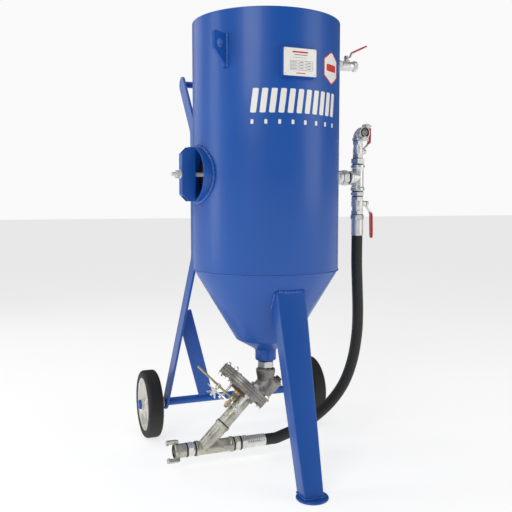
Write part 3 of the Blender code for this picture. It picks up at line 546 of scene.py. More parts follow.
def vessel():
    wall = Shape().ring(0.22, TANK_R, 0.6083, 1.351, sides=192, soft=0.0016)
    shell = piece("tank_wall", wall, PAINT, node="tank_shell")
    hole = Shape(HATCH).rod(0.0798, 0.15, 0.3, along((0, 0, HATCH_Z), LEFT), 96, 0)
    mesh = bpy.data.meshes.new("hatch_hole")
    bmesh.ops.recalc_face_normals(hole.mesh, faces=hole.mesh.faces)
    hole.mesh.to_mesh(mesh)
    cutter = added("hatch_hole", mesh)
    cut = shell.modifiers.new("Hole", "BOOLEAN")
    cut.operation, cut.solver, cut.object = "DIFFERENCE", "EXACT", cutter
    graph = bpy.context.evaluated_depsgraph_get()
    opened = bpy.data.meshes.new_from_object(shell.evaluated_get(graph))
    shell.modifiers.clear()
    shell.data = opened
    smoothed(opened)
    bpy.data.objects.remove(cutter)

    cone = Shape().turn(mm("225 608, 94 388, 36.5 355.5, 22.5 355.5, 22.5 360.5, 91 393, 219 608"),
        sides=160, soft=0.004, steps=4)
    cone.turn(mm("33 356.5, 33 321.5, 31 318.5, 21.3 318.5, 21.3 356.5"), sides=72, soft=0.0012)
    piece("cone_and_socket", cone, PAINT, node="bottom_cone")

    rim, port = 0.2192, 0.047
    sphere = (0.22 ** 2 + 0.055 ** 2) / 0.11

    def dish(radius):
        return 1.245 + sphere - sqrt(sphere ** 2 - radius ** 2)

    radii = [port + 0.004 + (rim - port - 0.004) * i / 14 for i in range(15)]
    low = dish(port) - 0.032
    profile = [(r, dish(r) - 0.005) for r in reversed(radii)]
    profile += [(port + 0.004, low), (port, low), (port, dish(port) - 0.002)]
    profile += [(r, dish(r)) for r in radii]
    piece("filling_dish", Shape().turn(profile, sides=128), PAINT, node="filling_head")
    seat = Shape().ring(0.04, 0.051, low - 0.01, low - 0.0003, soft=0.0015)
    piece("seat_ring", seat, RUBBER, node="filling_seat")
    base = 1.168
    cap = [(0.0055, base + 0.018), (0.012, base + 0.018), (0.03, base + 0.016),
        (0.046, base + 0.003), (0.046, base), (0.024, base), (0.024, base - 0.07),
        (0.0185, base - 0.07), (0.0185, base - 0.004), (0.0055, base - 0.002)]
    piece("mushroom_valve", Shape().turn(cap, soft=0.002), RUBBER, "popup_valve", "popup_valve")
    kept("air_standpipe", ZINC)

    beads = Shape()
    beads.weld(circle(0.2244, 0.6078), 0.0022, closed=True, up=RIGHT)
    beads.weld(circle(0.2176, 1.2996, 120), 0.0026, closed=True, up=RIGHT, pitch=0.005)
    beads.weld(circle(0.0345, 0.3548, 60), 0.002, closed=True, up=RIGHT)
    for degrees in (-51.8, 128.2):
        for sign, _ in SIDES:
            side = degrees + sign * math.degrees(0.0052 / TANK_R)
            path = [on_tank(side, 0.2262, z) for z in (1.191, 1.22, 1.25, 1.2835)]
            beads.weld(path, 0.0042, up=on_tank(side, 1, 0), pitch=0.007)
    piece("tank_welds", beads, WELD)
    around = Shape(HATCH)
    ring = []
    for turn in angles(96):
        y, z = 0.0812 * sin(turn), 0.0812 * cos(turn)
        ring.append((-sqrt(0.2258 ** 2 - y * y), y, HATCH_Z + z))
    around.weld(ring, 0.0056, closed=True, up=LEFT, pitch=0.008)
    piece("hatch_weld", around, WELD)
    for node in ("lifting_lug_left", "lifting_lug_right"):
        kept(node, PAINT, 0.0012)


def decal(shape, degrees, z, outline, radius=0.22515, thick=0.0004):
    """A thin film bent round the tank, from a convex outline of (right, up) about its centre."""
    rows = []
    xs = [p[0] for p in outline]
    steps = max(2, round((max(xs) - min(xs)) / 0.004))
    edge = 1e-6
    for i in range(steps + 1):
        x = min(xs) + edge + (max(xs) - min(xs) - 2 * edge) * i / steps
        cuts = []
        for (ax, ay), (bx, by) in zip(outline, outline[1:] + outline[:1]):
            if (ax - x) * (bx - x) < 0:
                cuts.append(ay + (by - ay) * (x - ax) / (bx - ax))
        low, high = min(cuts), max(cuts)
        turn = degrees + math.degrees(x / TANK_R)
        rows.append([on_tank(turn, radius + out, z + up)
                     for out, up in ((0, low), (thick, low), (thick, high), (0, high))])
    shape.skin(rows)


def box_outline(x0, x1, y0, y1, lean=0.0, soft=0.002):
    corners = [(x0, y0), (x1, y0), (x1 + lean, y1), (x0 + lean, y1)]
    return fillet(corners, soft, True, 3)


def markings():
    marks = Shape()
    pitch = 0.0262
    for i in range(11):
        x = (i - 5) * pitch
        decal(marks, 3.4, 1.0965, box_outline(x - 0.0125, x + 0.0045, -0.0335, 0.0335, 0.008))
    for i in range(8):
        x = (i - 3.5) * 0.0385
        decal(marks, 2.6, 1.0385, box_outline(x - 0.004, x + 0.004, -0.0065, 0.0065, 0, 0.001))
    piece("stripe_marks", marks, WHITE)
    border, face, bars = Shape(), Shape(), Shape()
    shield = mm("-39 -24, -4 -46, 4 -46, 39 -24, 39 24, 4 46, -4 46, -39 24")
    decal(border, 35.0, 1.201, shield)
    decal(face, 35.0, 1.201, [(x * 0.91, y * 0.92) for x, y in shield], 0.2253)
    decal(bars, 35.0, 1.201, box_outline(-0.026, 0.026, -0.01, 0.01), 0.22545)
    piece("sticker_border", border, SIGNAL)
    piece("sticker_face", face, WHITE)
    piece("sticker_bar", bars, SIGNAL)

    kept("nameplate_holder", PAINT, 0.0012)
    plate_at = facing(1.7, 0.0, 1.2005)
    plate = Shape()
    outline = fillet(mm("-50 -37.5, 50 -37.5, 50 37.5, -50 37.5"), 0.003)
    plate.skin([[(x, y, z) for x, y in outline] for z in (0.2355, 0.2364)], plate_at)
    piece("blank_nameplate", plate, WHITE, node="nameplate")
    ink, red, rivets = Shape(), Shape(), Shape()

    def strip(shape, x0, x1, y, tall):
        shape.block((x0, x1), (y - tall / 2, y + tall / 2), (0.2362, 0.23655), plate_at)

    for row, (start, end) in enumerate((
            (-0.024, 0.02), (-0.03, 0.038), (-0.03, 0.038), (-0.03, 0.038), (-0.03, 0.038))):
        y = 0.012 - row * 0.0085
        strip(ink, start, end, y, 0.0008)
    for column in (-0.03, -0.004, 0.018, 0.038):
        ink.block((column - 0.0004, column + 0.0004), (-0.0224, 0.0036), (0.2362, 0.23655),
            plate_at)
    for row in range(3):
        for column, width in ((-0.028, 0.018), (-0.001, 0.011), (0.021, 0.012)):
            strip(ink, column, column + width, -0.0007 - row * 0.0085, 0.0018)
    strip(red, -0.024, 0.024, 0.027, 0.0042)
    strip(red, -0.012, 0.016, -0.03, 0.0026)
    strip(ink, -0.018, 0.022, 0.0195, 0.002)
    for x in (-0.0455, 0.0455):
        for y in (-0.033, 0.033):
            rivets.solid(mm("2.4 236, 2.4 236.8, 1.2 237.5"),
                plate_at @ Matrix.Translation((x, y, 0)), 24, 0.0004)
    piece("plate_marks", ink, INK)
    piece("plate_heading", red, SIGNAL)
    piece("plate_rivets", rivets, ZINC)


def threaded(radius, low, high, pitch=0.0015):
    """The profile of a screw thread as a row of ridges."""
    count = round((high - low) / pitch)
    step = (high - low) / count
    profile = [(radius * 0.86, low)]
    for i in range(count):
        z = low + step * i
        profile += [(radius, z + step * 0.45), (radius, z + step * 0.55), (radius * 0.88, z + step)]
    return profile


def hatch():
    out = along((0, 0, HATCH_Z), LEFT)
    neck = Shape(HATCH).ring(0.0725, 0.0795, 0.195, 0.24, out, 128, 0.0012)
    piece("hatch_ring", neck, PAINT, node="hatch_neck")
    gasket = Shape(HATCH).ring(0.0695, 0.0785, 0.1917, 0.1947, out, 96, 0.001)
    piece("cover_gasket", gasket, RUBBER, "hatch_cover", "hatch_gasket")
    # The cover sits deep in the neck and is drawn in the black rubber finish: painted shade for the
    # shadowed inside of the hatch.
    cover = Shape(HATCH).solid(mm("78 183.4, 78 190, 75.5 191.4, 60 191.4, 56 190.5, 20 190.5, "
        "12 196, 12 203.4"), out, 96, 0.0012)
    piece("cover_plate_painted_shade", cover, RUBBER, "hatch_cover", "hatch_cover")
    stud = Shape(HATCH).solid(threaded(0.006, 0.203, 0.3085), out, 32)
    stud.solid(mm("5.2 308, 5.2 309.8, 3 311"), out, 32, 0.001)
    piece("cover_stud", stud, ZINC, "hatch_cover")
    kept("hatch_yoke", PAINT, 0.001)
    nut = Shape(HATCH)
    nut.ring(0.0068, 0.0135, 0.2818, 0.2846, out, soft=0.0004)
    nut.hexagon(0.0118, 0.2846, 0.2978, out, bore=0.0067)
    piece("yoke_nut", nut, ZINC, "hatch_nut", "hatch_nut")


# Trolley


def leg_half_x(share):
    """Half the leg's width, from its foot at 0 to its top at 1."""
    return 0.029 + 0.017 * share


def foot():
    leg = Shape()
    rows = []
    for z in (0.006, 0.1, 0.2, 0.3, 0.4, 0.5, 0.556):
        share = (z - LEG_FOOT.z) / (LEG_TOP.z - LEG_FOOT.z)
        centre = LEG_FOOT.lerp(LEG_TOP, share)
        half_x, half_y = leg_half_x(share), LEG_HALF_Y
        corners = [(-half_x, -half_y), (half_x, -half_y), (half_x, half_y), (-half_x, half_y)]
        rows.append([(centre.x + x, centre.y + y, z) for x, y in fillet(corners, 0.0055, True, 5)])
    leg.skin(rows)
    pad = mm("43.5 0, 46 2.5, 46 6, 42.5 8.5")
    leg.solid(pad, Matrix.Translation((0.0045, -0.335, 0)), 96, 0.0022)
    piece("leg_and_foot", leg, PAINT, node="front_leg")
    bead = Shape()
    loop = [(p[0] * 1.03, LEG_FOOT.y + (p[1] - LEG_FOOT.y) * 1.03, 0.0092) for p in rows[0]]
    bead.weld(loop, 0.0028, closed=True, pitch=0.0045)
    rim = []
    for x in range(-44, 45, 4):
        z = 0.5572 - 0.0006 * (abs(x) / 44) ** 2
        rim.append((x / 1000, -sqrt(0.1955 ** 2 - (x / 1000) ** 2), z))
    bead.weld(rim, 0.006, pitch=0.0085)
    knuckle_r, knuckle_z = CONE_KNUCKLE
    for sign, _ in SIDES:
        flank = []
        for i in range(22):
            z = 0.556 - i * 0.0042
            share = (z - LEG_FOOT.z) / (LEG_TOP.z - LEG_FOOT.z)
            x = sign * (leg_half_x(share) + 0.0006)
            cone_r = knuckle_r + (z - knuckle_z) * (TANK_R - knuckle_r) / (SEAM_Z - knuckle_z)
            centre_y = LEG_FOOT.lerp(LEG_TOP, share).y
            y = -sqrt(max(cone_r ** 2 - x * x, 0)) - 0.0005
            if centre_y - LEG_HALF_Y < y < centre_y + LEG_HALF_Y:
                flank.append((x, y, z))
        bead.weld(flank, 0.0036, pitch=0.0055, up=(sign, 0, 0))
    piece("leg_welds", bead, WELD)


def bend(points, radius, steps=8):
    """A path with its inner corners rounded."""
    result = [Vector(points[0])]
    for back, corner, ahead in zip(points, points[1:], points[2:]):
        back, corner, ahead = Vector(back), Vector(corner), Vector(ahead)
        start = corner + (back - corner).normalized() * radius
        end = corner + (ahead - corner).normalized() * radius
        result += curved(start, corner, end, steps)
    return [*result, Vector(points[-1])]


def strap(shape, path, width, thick, face):
    """A flat bar with round ends along a path; its broad side looks to face."""
    path = [Vector(p) for p in path]
    half = width / 2
    spine = carried(path, face, False)
    cap = [(half * cos(t), half * sin(t)) for t in (pi / 2 * k / 8 for k in range(1, 8))]
    rows = [(point, side, above, half) for point, side, above in spine]
    for end, beside, order in ((0, 1, 1), (-1, -2, -1)):
        run = (path[end] - path[beside]).normalized()
        tip = [(path[end] + run * out, *spine[end][1:], wide) for out, wide in cap[::order]]
        rows = tip + rows if end == 0 else rows + tip
    corners = (-1, -1), (1, -1), (1, 1), (-1, 1)
    shape.skin([[point + side * a * wide + above * b * thick / 2 for a, b in corners]
                for point, side, above, wide in rows])


def cross_tube(name, at, inner, outer, half, bead, node):
    """A tube across the trolley with a weld bead round each end."""
    y, z = at
    end, radius, thick, pitch = bead
    tube = Shape().ring(inner, outer, -half, half, along((0, y, z), RIGHT), 48, 0.0006)
    for sign, _ in SIDES:
        loop = [(sign * end, y + radius * cos(t), z + radius * sin(t)) for t in angles(24)]
        tube.weld(loop, thick, closed=True, up=RIGHT, pitch=pitch)
    piece(name, tube, PAINT, node=node)


def trolley():
    foot()
    for side, word in SIDES:
        points = [(side * 0.245, *AXLE), (side * 0.1877, 0.155, 0.63),
                  (side * 0.1877, 0.155, 1.05), (side * 0.1877, *HANDLE)]
        bar = Shape()
        strap(bar, bend(points, 0.022), 0.05, 0.008, RIGHT)
        piece(f"upright_{word}", bar, PAINT, node=f"side_bar_{word}", bevel=0.0013)
        bead = Shape()
        y = 0.13
        x = side * (sqrt(TANK_R ** 2 - y * y) + 0.0005)
        for low, high in ((0.64, 0.72), (0.8, 0.86), (0.96, 1.04)):
            bead.weld([(x, y, low), (x, y, high)], 0.0036, up=(side, 0, 0), pitch=0.006)
        piece(f"upright_weld_{word}", bead, WELD)
    kept("brace_bar", PAINT, 0.0012)
    cross_tube("push_handle", HANDLE, 0.0082, 0.0105, 0.1917, (0.1832, 0.0112, 0.0016, 0.004),
               "handle_tube")
    cross_tube("axle_sleeve", AXLE, 0.0108, 0.0135, 0.239, (0.2398, 0.0142, 0.0022, 0.0045),
        "axle_tube")
    axle = along((0, *AXLE), RIGHT)
    shaft = Shape().rod(0.01, -0.336, 0.336, axle)
    for sign, _ in SIDES:
        cap_at = axle @ Matrix.Rotation(0 if sign > 0 else pi, 4, "X")
        shaft.solid(mm("16.5 333.5, 16.8 337.5, 14.5 341.5, 9 343"), cap_at, 48, 0.0016)
    piece("axle_and_caps", shaft, PAINT, node="axle_shaft")
    for side, word in SIDES:
        wheel(side, word)


def wheel(side, word):
    at = along((side * 0.303, *AXLE), (side, 0, 0))
    body = f"wheel_{word}"
    tread = mm("89.5 -21.5, 92.5 -24.5, 100 -26, 108 -25.2, 113.5 -21.5, 115.5 -17, 116 -12.5, "
        "116 12.5, 115.5 17, 113.5 21.5, 108 25.2, 100 26, 92.5 24.5, 89.5 21.5")
    tyre = Shape().turn(tread, at, 144, 0.0012)
    for z in (-0.0258, 0.0258):
        tyre.turn(oval(0.1025, z, 0.0012, 0.0007, 8), at, 144)
    piece(f"solid_tyre_{word}", tyre, TYRE, body, f"tyre_{word}")
    centre = Shape()
    rows = []
    face = mm("89.2 19.5, 90.5 21.5, 89.5 23.2, 86.5 22.5, 84.5 19, 83 9, 79 4.5, 74 3.5, 70 4.5, "
        "56 6, 43 6, 34 5, 30 7, 26 15, 21.5 20, 19 21, 19 29.8, 17.2 30.5, 10.5 30.5")
    back = mm("10.5 -50, 18 -50, 19 -49, 19 -6, 74 -4, 82 -6, 84 -18, 86.5 -22.5, 89.5 -22.5, "
        "90.5 -20.5, 89.2 -19")
    for r, z in [*face, *back]:
        ribbed = 0.03 < r < 0.072 and z > 0
        loop = []
        for t in angles(144):
            lift = 0.0042 * ribbed * max(0.0, cos(10 * t)) ** 1.5
            loop.append((r * cos(t), r * sin(t), z - lift))
        rows.append(loop)
    centre.skin(rows, at, closed=True)
    piece(f"pressed_centre_{word}", centre, DISC, body, f"wheel_centre_{word}", sharp=60)


# Pipe fittings


def seal(shape, start, direction, radius, wide=0.0026):
    """A bead of black thread sealant round a joint."""
    place = along(start, direction)
    profile = oval(radius, 0.0, 0.0009, wide / 2, 10)
    rows = []
    for turn in angles(40):
        lumps = 1 + 0.012 * noise.noise(Vector((cos(turn) * 3, sin(turn) * 3, radius * 900)))
        rows.append([(r * lumps * cos(turn), r * lumps * sin(turn), z) for r, z in profile])
    shape.skin(rows, place, closed=True)


def hex_nipple(name, start, direction, length, core, hexagon, span, node, bore, spin=UP):
    place = along(start, direction, spin)
    shape = Shape().ring(bore, core, 0.0, length, place, soft=0.0006)
    shape.hexagon(hexagon, *span, place, bore=core * 0.98)
    piece(name, shape, ZINC, node=node)


VALVES = {
    # length, core radius, hexagon radius, ball centre from the start, bore, gland reach, stem reach
    "lower": (0.058, 0.019, 0.0222, 0.022, 0.0105, 0.03, 0.041),
    "upper": (0.0565, 0.0155, 0.0186, 0.0212, 0.008, 0.0205, 0.0295),
    "vent": (0.07, 0.0145, 0.0172, 0.034, 0.0075, 0.0205, 0.0324),
}


def ball_valve(word, start, axis, stem):
    """A two-piece ball valve with its gland, stem and stem nut."""
    length, core, hexagon, centre_at, bore, gland, reach = VALVES[word]
    start, axis, stem = Vector(start), Vector(axis), Vector(stem)
    place = along(start, axis, stem)
    bulge = core * 1.06
    body = Shape().turn([(bore, 0.0), (core * 0.98, 0.0), (core * 0.98, 0.0125), (bulge, 0.0155),
        (bulge, centre_at + 0.009), (core, centre_at + 0.0115), (core * 0.93, length - 0.016),
        (core * 0.96, length - 0.013), (core * 0.96, length), (bore, length)], place, 72, 0.0012)
    body.hexagon(hexagon, 0.0008, 0.0122, place, bore=core * 0.9)
    body.hexagon(hexagon, length - 0.0132, length - 0.0008, place, bore=core * 0.9)
    centre = start + axis * centre_at
    out = along(centre, stem, axis)
    body.turn([(0.011, bulge - 0.003), (0.0102, bulge + 0.001), (0.0082, bulge + 0.0022),
               (0.0082, gland), (0.0052, gland), (0.0052, bulge - 0.003)], out, 48, 0.0007)
    piece(f"{word}_valve_casting", body, ZINC, node=f"{word}_valve_body")
    turning = Shape().rod(0.0045, bulge - 0.002, reach - 0.001, out, 32)
    turning.hexagon(0.0075, reach - 0.0055, reach - 0.0008, out)
    turning.solid([(0.0036, reach - 0.001), (0.0036, reach), (0.002, reach + 0.0003)], out, 24,
        0.0004)
    ball = [(bore * 0.97 * cos(a), bore * 0.97 * sin(a)) for a in
            (radians(d) for d in range(-48, 49, 8))]
    turning.turn([(bore * 0.55, ball[0][1]), *ball, (bore * 0.55, ball[-1][1])],
                 along(centre, axis, stem), 48)
    piece(f"{word}_stem", turning, ZINC, f"{word}_handle", f"{word}_ball_stem")
    return centre


def lever(word, centre, stem, hub_reach, crank, tip):
    """A plated lever arm, cranked clear of the body, with a dipped sleeve over its grip."""
    stem = Vector(stem)
    hub = centre + stem * hub_reach
    crank, tip = hub + Vector(crank), hub + Vector(tip)
    reach = crank - hub
    flat = (reach - stem * reach.dot(stem)).normalized()
    run = (tip - crank).normalized()
    arm = Shape()
    path = bend([hub, hub + flat * 0.011, crank - run * 0.001, crank + run * 0.03], 0.0045, 5)
    strap(arm, path, 0.0145, 0.0026, stem)
    arm.rod(0.0088, -0.0013, 0.0013, along(hub, stem), 40)
    body = f"{word}_handle"
    piece(f"{word}_arm", arm, ZINC, body, bevel=0.0004)
    sleeve = Shape()
    start = crank - (crank - hub - flat * 0.011) * 0.25
    wide, thick = 0.0088, 0.0031
    rows = []
    path = spaced(bend([start, crank, tip], 0.004, 5), 0.0035)
    total = len(path) - 1
    for i, (point, side, above) in enumerate(carried(path, stem, False)):
        end = min(i, total - i)
        taper = (0.72, 0.9, 0.98)[end] if end < 3 else 1.0
        swell = 1.0 + 0.1 * sin(pi * i / total)
        loop = []
        for t in angles(24):
            c, s = cos(t), sin(t)
            aside = side * copysign(abs(c) ** 0.6, c) * wide * taper * swell
            loop.append(point + aside + above * copysign(abs(s) ** 0.6, s) * thick * taper)
        rows.append(loop)
    sleeve.skin(rows)
    piece(f"{word}_sleeve", sleeve, RED, body, f"{word}_lever", sharp=70)


def claw_coupling(name, start, direction, length, core, face, bore, claw, node, spin, hook, finish):
    """A quick coupling: a body, a raised rubber face and two claws that hook past it."""
    place = along(start, direction, spin)
    body = Shape().turn([(bore, 0.0), (core, 0.0), (core, length - 0.0105), (face, length - 0.0085),
        (face, length - 0.002), (face * 0.9, length - 0.0004), (bore * 1.1, length - 0.0004),
        (bore, length - 0.004)], place, 80, 0.0012)
    piece(name, body, finish, node=node)
    claws = Shape()
    thick = claw - face + 0.003
    for centre in (0.0, pi):
        claws.sector(claw - thick, claw, centre, 0.47, length - 0.0105, length + hook, place)
        claws.sector(face * 0.74, claw - thick * 0.4, centre + 0.05, 0.36, length + hook - 0.0062,
                     length + hook - 0.0006, place)
        claws.sector(core * 0.9, claw - 0.0012, centre, 0.42, length - 0.015, length - 0.0035,
            place)
    piece(f"{name}_claws", claws, finish, bevel=0.0013)
    ring = Shape().turn([(bore * 1.0, length - 0.003), (face * 0.8, length - 0.0012),
                         (face * 0.78, length + 0.0012), (bore * 1.05, length + 0.001)], place, 64,
                        0.0007)
    piece(f"{name}_seal", ring, RUBBER)


def inlet():
    x, z = INLET_X, PIPE_Z
    nipple_at = along((0.206, 0, z), RIGHT)
    nipple = Shape().turn(mm("12.5 0, 16.5 0, 16.5 39, 23.2 40.5, 23.2 55.5, 16.5 57, 16.5 84.2, "
        "12.5 84.2"), nipple_at, 72, 0.0008)
    nipple.hexagon(0.0262, 0.0215, 0.0415, nipple_at, bore=0.016)
    nipple.hexagon(0.0248, 0.06, 0.078, nipple_at, bore=0.016)
    piece("inlet_union", nipple, ZINC, node="inlet_nipple")
    up_at = along((x, 0, 0.852), UP, RIGHT)
    tee = Shape().turn(mm("14.1 0, 22.2 0, 22.6 2, 22.6 9.5, 19.6 12.5, 19.2 24, 19.2 60, 19.6 72, "
        "22.6 75, 22.6 82.5, 22.2 84.5, 14.1 84.5"), up_at, 96, 0.0016)
    tee.turn(mm("14.1 0, 19.3 0, 19.3 21.5, 22.6 24, 22.6 31.8, 22 33.2, 14.1 33.2"),
        along((x, 0, z), LEFT), 96, 0.0016)
    piece("inlet_tee_casting", tee, ZINC, node="inlet_tee")
    hex_nipple("reducing_bush", (x, 0, 0.9368), UP, 0.0206, 0.0168, 0.0242, (0.004, 0.0196),
               "upper_bush", 0.009, spin=RIGHT)
    hex_nipple("tee_nipple", (x, 0, 0.8333), UP, 0.0184, 0.0168, 0.0242, (0.004, 0.014),
               "lower_nipple", 0.011, spin=RIGHT)
    centre = ball_valve("upper", (x, 0, 0.958), UP, RIGHT)
    lever("upper", centre, RIGHT, 0.0222, (0.019, 0, 0.03), (0.019, 0, 0.083))
    centre = ball_valve("lower", (x, 0, 0.833), (0, 0, -1), RIGHT)
    lever("lower", centre, RIGHT, 0.0335, (0.018, 0, -0.034), (0.02, 0, -0.114))
    elbow = Shape()
    path = bend([(x, 0, 1.015), (x, 0, 1.037), (x, -0.0238, 1.037)], 0.016, 10)
    elbow.pipe(path, 0.016, up=RIGHT, sides=48)
    elbow.turn(mm("10 0, 18.6 0, 19 1.5, 19 7.5, 16.5 9.5, 10 9.5"), along((x, 0, 1.015), UP), 64,
        0.001)
    elbow.turn(mm("10 0, 16.5 0, 19 2, 19 8, 18.6 9.2, 10 9.2"), along((x, -0.0148, 1.037), FRONT),
        64, soft=0.001)
    piece("inlet_elbow_casting", elbow, ZINC, node="inlet_elbow")
    claw_coupling("air_claw_body", (x, -0.0243, 1.037), FRONT, 0.021, 0.015, 0.019, 0.0105,
                  0.0265, "air_coupling", (0.25, 0, 1), 0.015, ZINC)
    nipple_at = along((0.2076, 0, VENT_Z), RIGHT)
    vent = Shape().ring(0.0085, 0.0128, 0.0, 0.0364, nipple_at, soft=0.0005)
    vent.hexagon(0.018, 0.0215, 0.03, nipple_at, bore=0.0125)
    piece("vent_union", vent, ZINC, node="vent_nipple")
    centre = ball_valve("vent", (0.2443, 0, VENT_Z), RIGHT, UP)
    lever("vent", centre, UP, 0.025, (0.02, 0, 0.018), (0.071, 0, 0.042))
    seals = Shape()
    joints = [(x_out, z, radius, RIGHT) for x_out, z, radius in (
        (0.227, PIPE_Z, 0.0172), (0.2888, PIPE_Z, 0.0176), (0.2272, VENT_Z, 0.0133),
        (0.2432, VENT_Z, 0.0133))]
    joints += [(x, height, radius, UP) for height, radius in (
        (0.938, 0.0176), (0.9572, 0.016), (0.8505, 0.0178), (0.8342, 0.0178), (1.0148, 0.0158),
        (0.7748, 0.0186))]
    for x_out, height, radius, direction in joints:
        seal(seals, (x_out, 0, height), direction, radius)
    piece("inlet_sealant", seals, RUBBER)


def ferrule(name, start, direction, length, swivel, node):
    """A hose fitting: a hexagon swivel and a sleeve crimped in eight ribs."""
    place = along(start, direction, UP)
    hex_low, hex_high, hex_r = swivel
    profile = [(0.013, 0.0), (0.0176, 0.0), (0.0176, hex_high), (0.0186, hex_high + 0.001)]
    start_z, end_z = hex_high + 0.003, length - 0.0035
    step = (end_z - start_z) / 8
    for i in range(8):
        low = start_z + step * i
        profile += [(0.01955, low + step * 0.15), (0.01955, low + step * 0.8),
            (0.01915, low + step * 0.97)]
    profile += [(0.0195, end_z), (0.0192, length - 0.0005), (0.013, length - 0.0005)]
    sleeve = Shape().turn(profile, place, 72, 0.0005)
    sleeve.hexagon(hex_r, hex_low, hex_high, place, bore=0.017)
    piece(name, sleeve, ZINC, node=node)


def blast_side():
    z = BLAST_Z
    junction = Vector((-0.2099, 0, z))
    up = Vector((sin(pi / 4), 0, cos(pi / 4)))
    lateral = Shape()
    run_at = along((-0.2335, 0, z), RIGHT)
    lateral.turn(mm("16.6 0, 23.4 0, 24 1.8, 24 8.2, 21.3 11.2, 21.1 25, 21.3 95, 21.5 109, "
        "24 112, 24 118.5, 23.4 120.1, 16.6 120.1"), run_at, 96, 0.0018)
    lateral.turn(mm("16 0, 21.4 0, 21.4 83.5, 24.4 86.2, 24.4 93.5, 23.8 95, 16.6 95"),
        along(junction, up, FRONT), 96, 0.0018)
    web = fillet(mm("0 0, 52 0, 37 37"), 0.006)
    lateral.skin([[(junction.x + 0.002 + a, depth, z + 0.012 + b) for a, b in web]
                  for depth in (0.0105, -0.0105)])
    piece("lateral_casting", lateral, STAINED, node="blast_lateral")
    hex_nipple("blast_union", (-0.2338, 0, z), LEFT, 0.031, 0.0195, 0.0236, (0.009, 0.025),
               "blast_nipple", 0.0155)
    claw_coupling("blast_claw_body", (-0.2651, 0, z), LEFT, 0.0362, 0.0215, 0.0255, 0.0155, 0.0345,
                  "blast_coupling", (0, 0.35, 0.937), 0.0212, STAINED)
    hex_nipple("air_union", (-0.1127, 0, z), RIGHT, 0.0252, 0.0195, 0.0236, (0.0075, 0.0215),
               "air_nipple", 0.0155)
    ferrule("lower_ferrule", (-0.0872, 0, z), RIGHT, 0.0832, (0.003, 0.02, 0.0232),
            "hose_fitting_lower")
    ferrule("upper_ferrule", (INLET_X, 0, 0.7747), (0, 0, -1), 0.069, (0.001, 0.015, 0.0222),
            "hose_fitting_upper")
    seals = Shape()
    for x, radius in ((-0.2352, 0.0205), (-0.262, 0.0204), (-0.11, 0.0205), (-0.088, 0.0204)):
        seal(seals, (x, 0, z), RIGHT, radius + 0.001, 0.0046)
    seal(seals, junction + up * 0.0962, up, 0.0224, 0.0044)
    for height in (0.316, 0.294):
        seal(seals, (0, 0, height), UP, 0.0224, 0.0046)
    piece("outlet_sealant", seals, RUBBER)


# Metering valve


def bolt(shape, degrees, head, nut, grip):
    """A flange bolt: its head below, its nut and thread end above."""
    at = polar(BOLT_CIRCLE, degrees) @ Matrix.Rotation(radians(degrees) * 3, 4, "Z")
    low, high = grip
    shape.hexagon(0.0078, low - head, low, at)
    shape.hexagon(0.0078, high, high + nut, at)
    shape.solid(threaded(0.0045, high + nut - 0.001, high + nut + 0.0045, 0.001), at, 24)


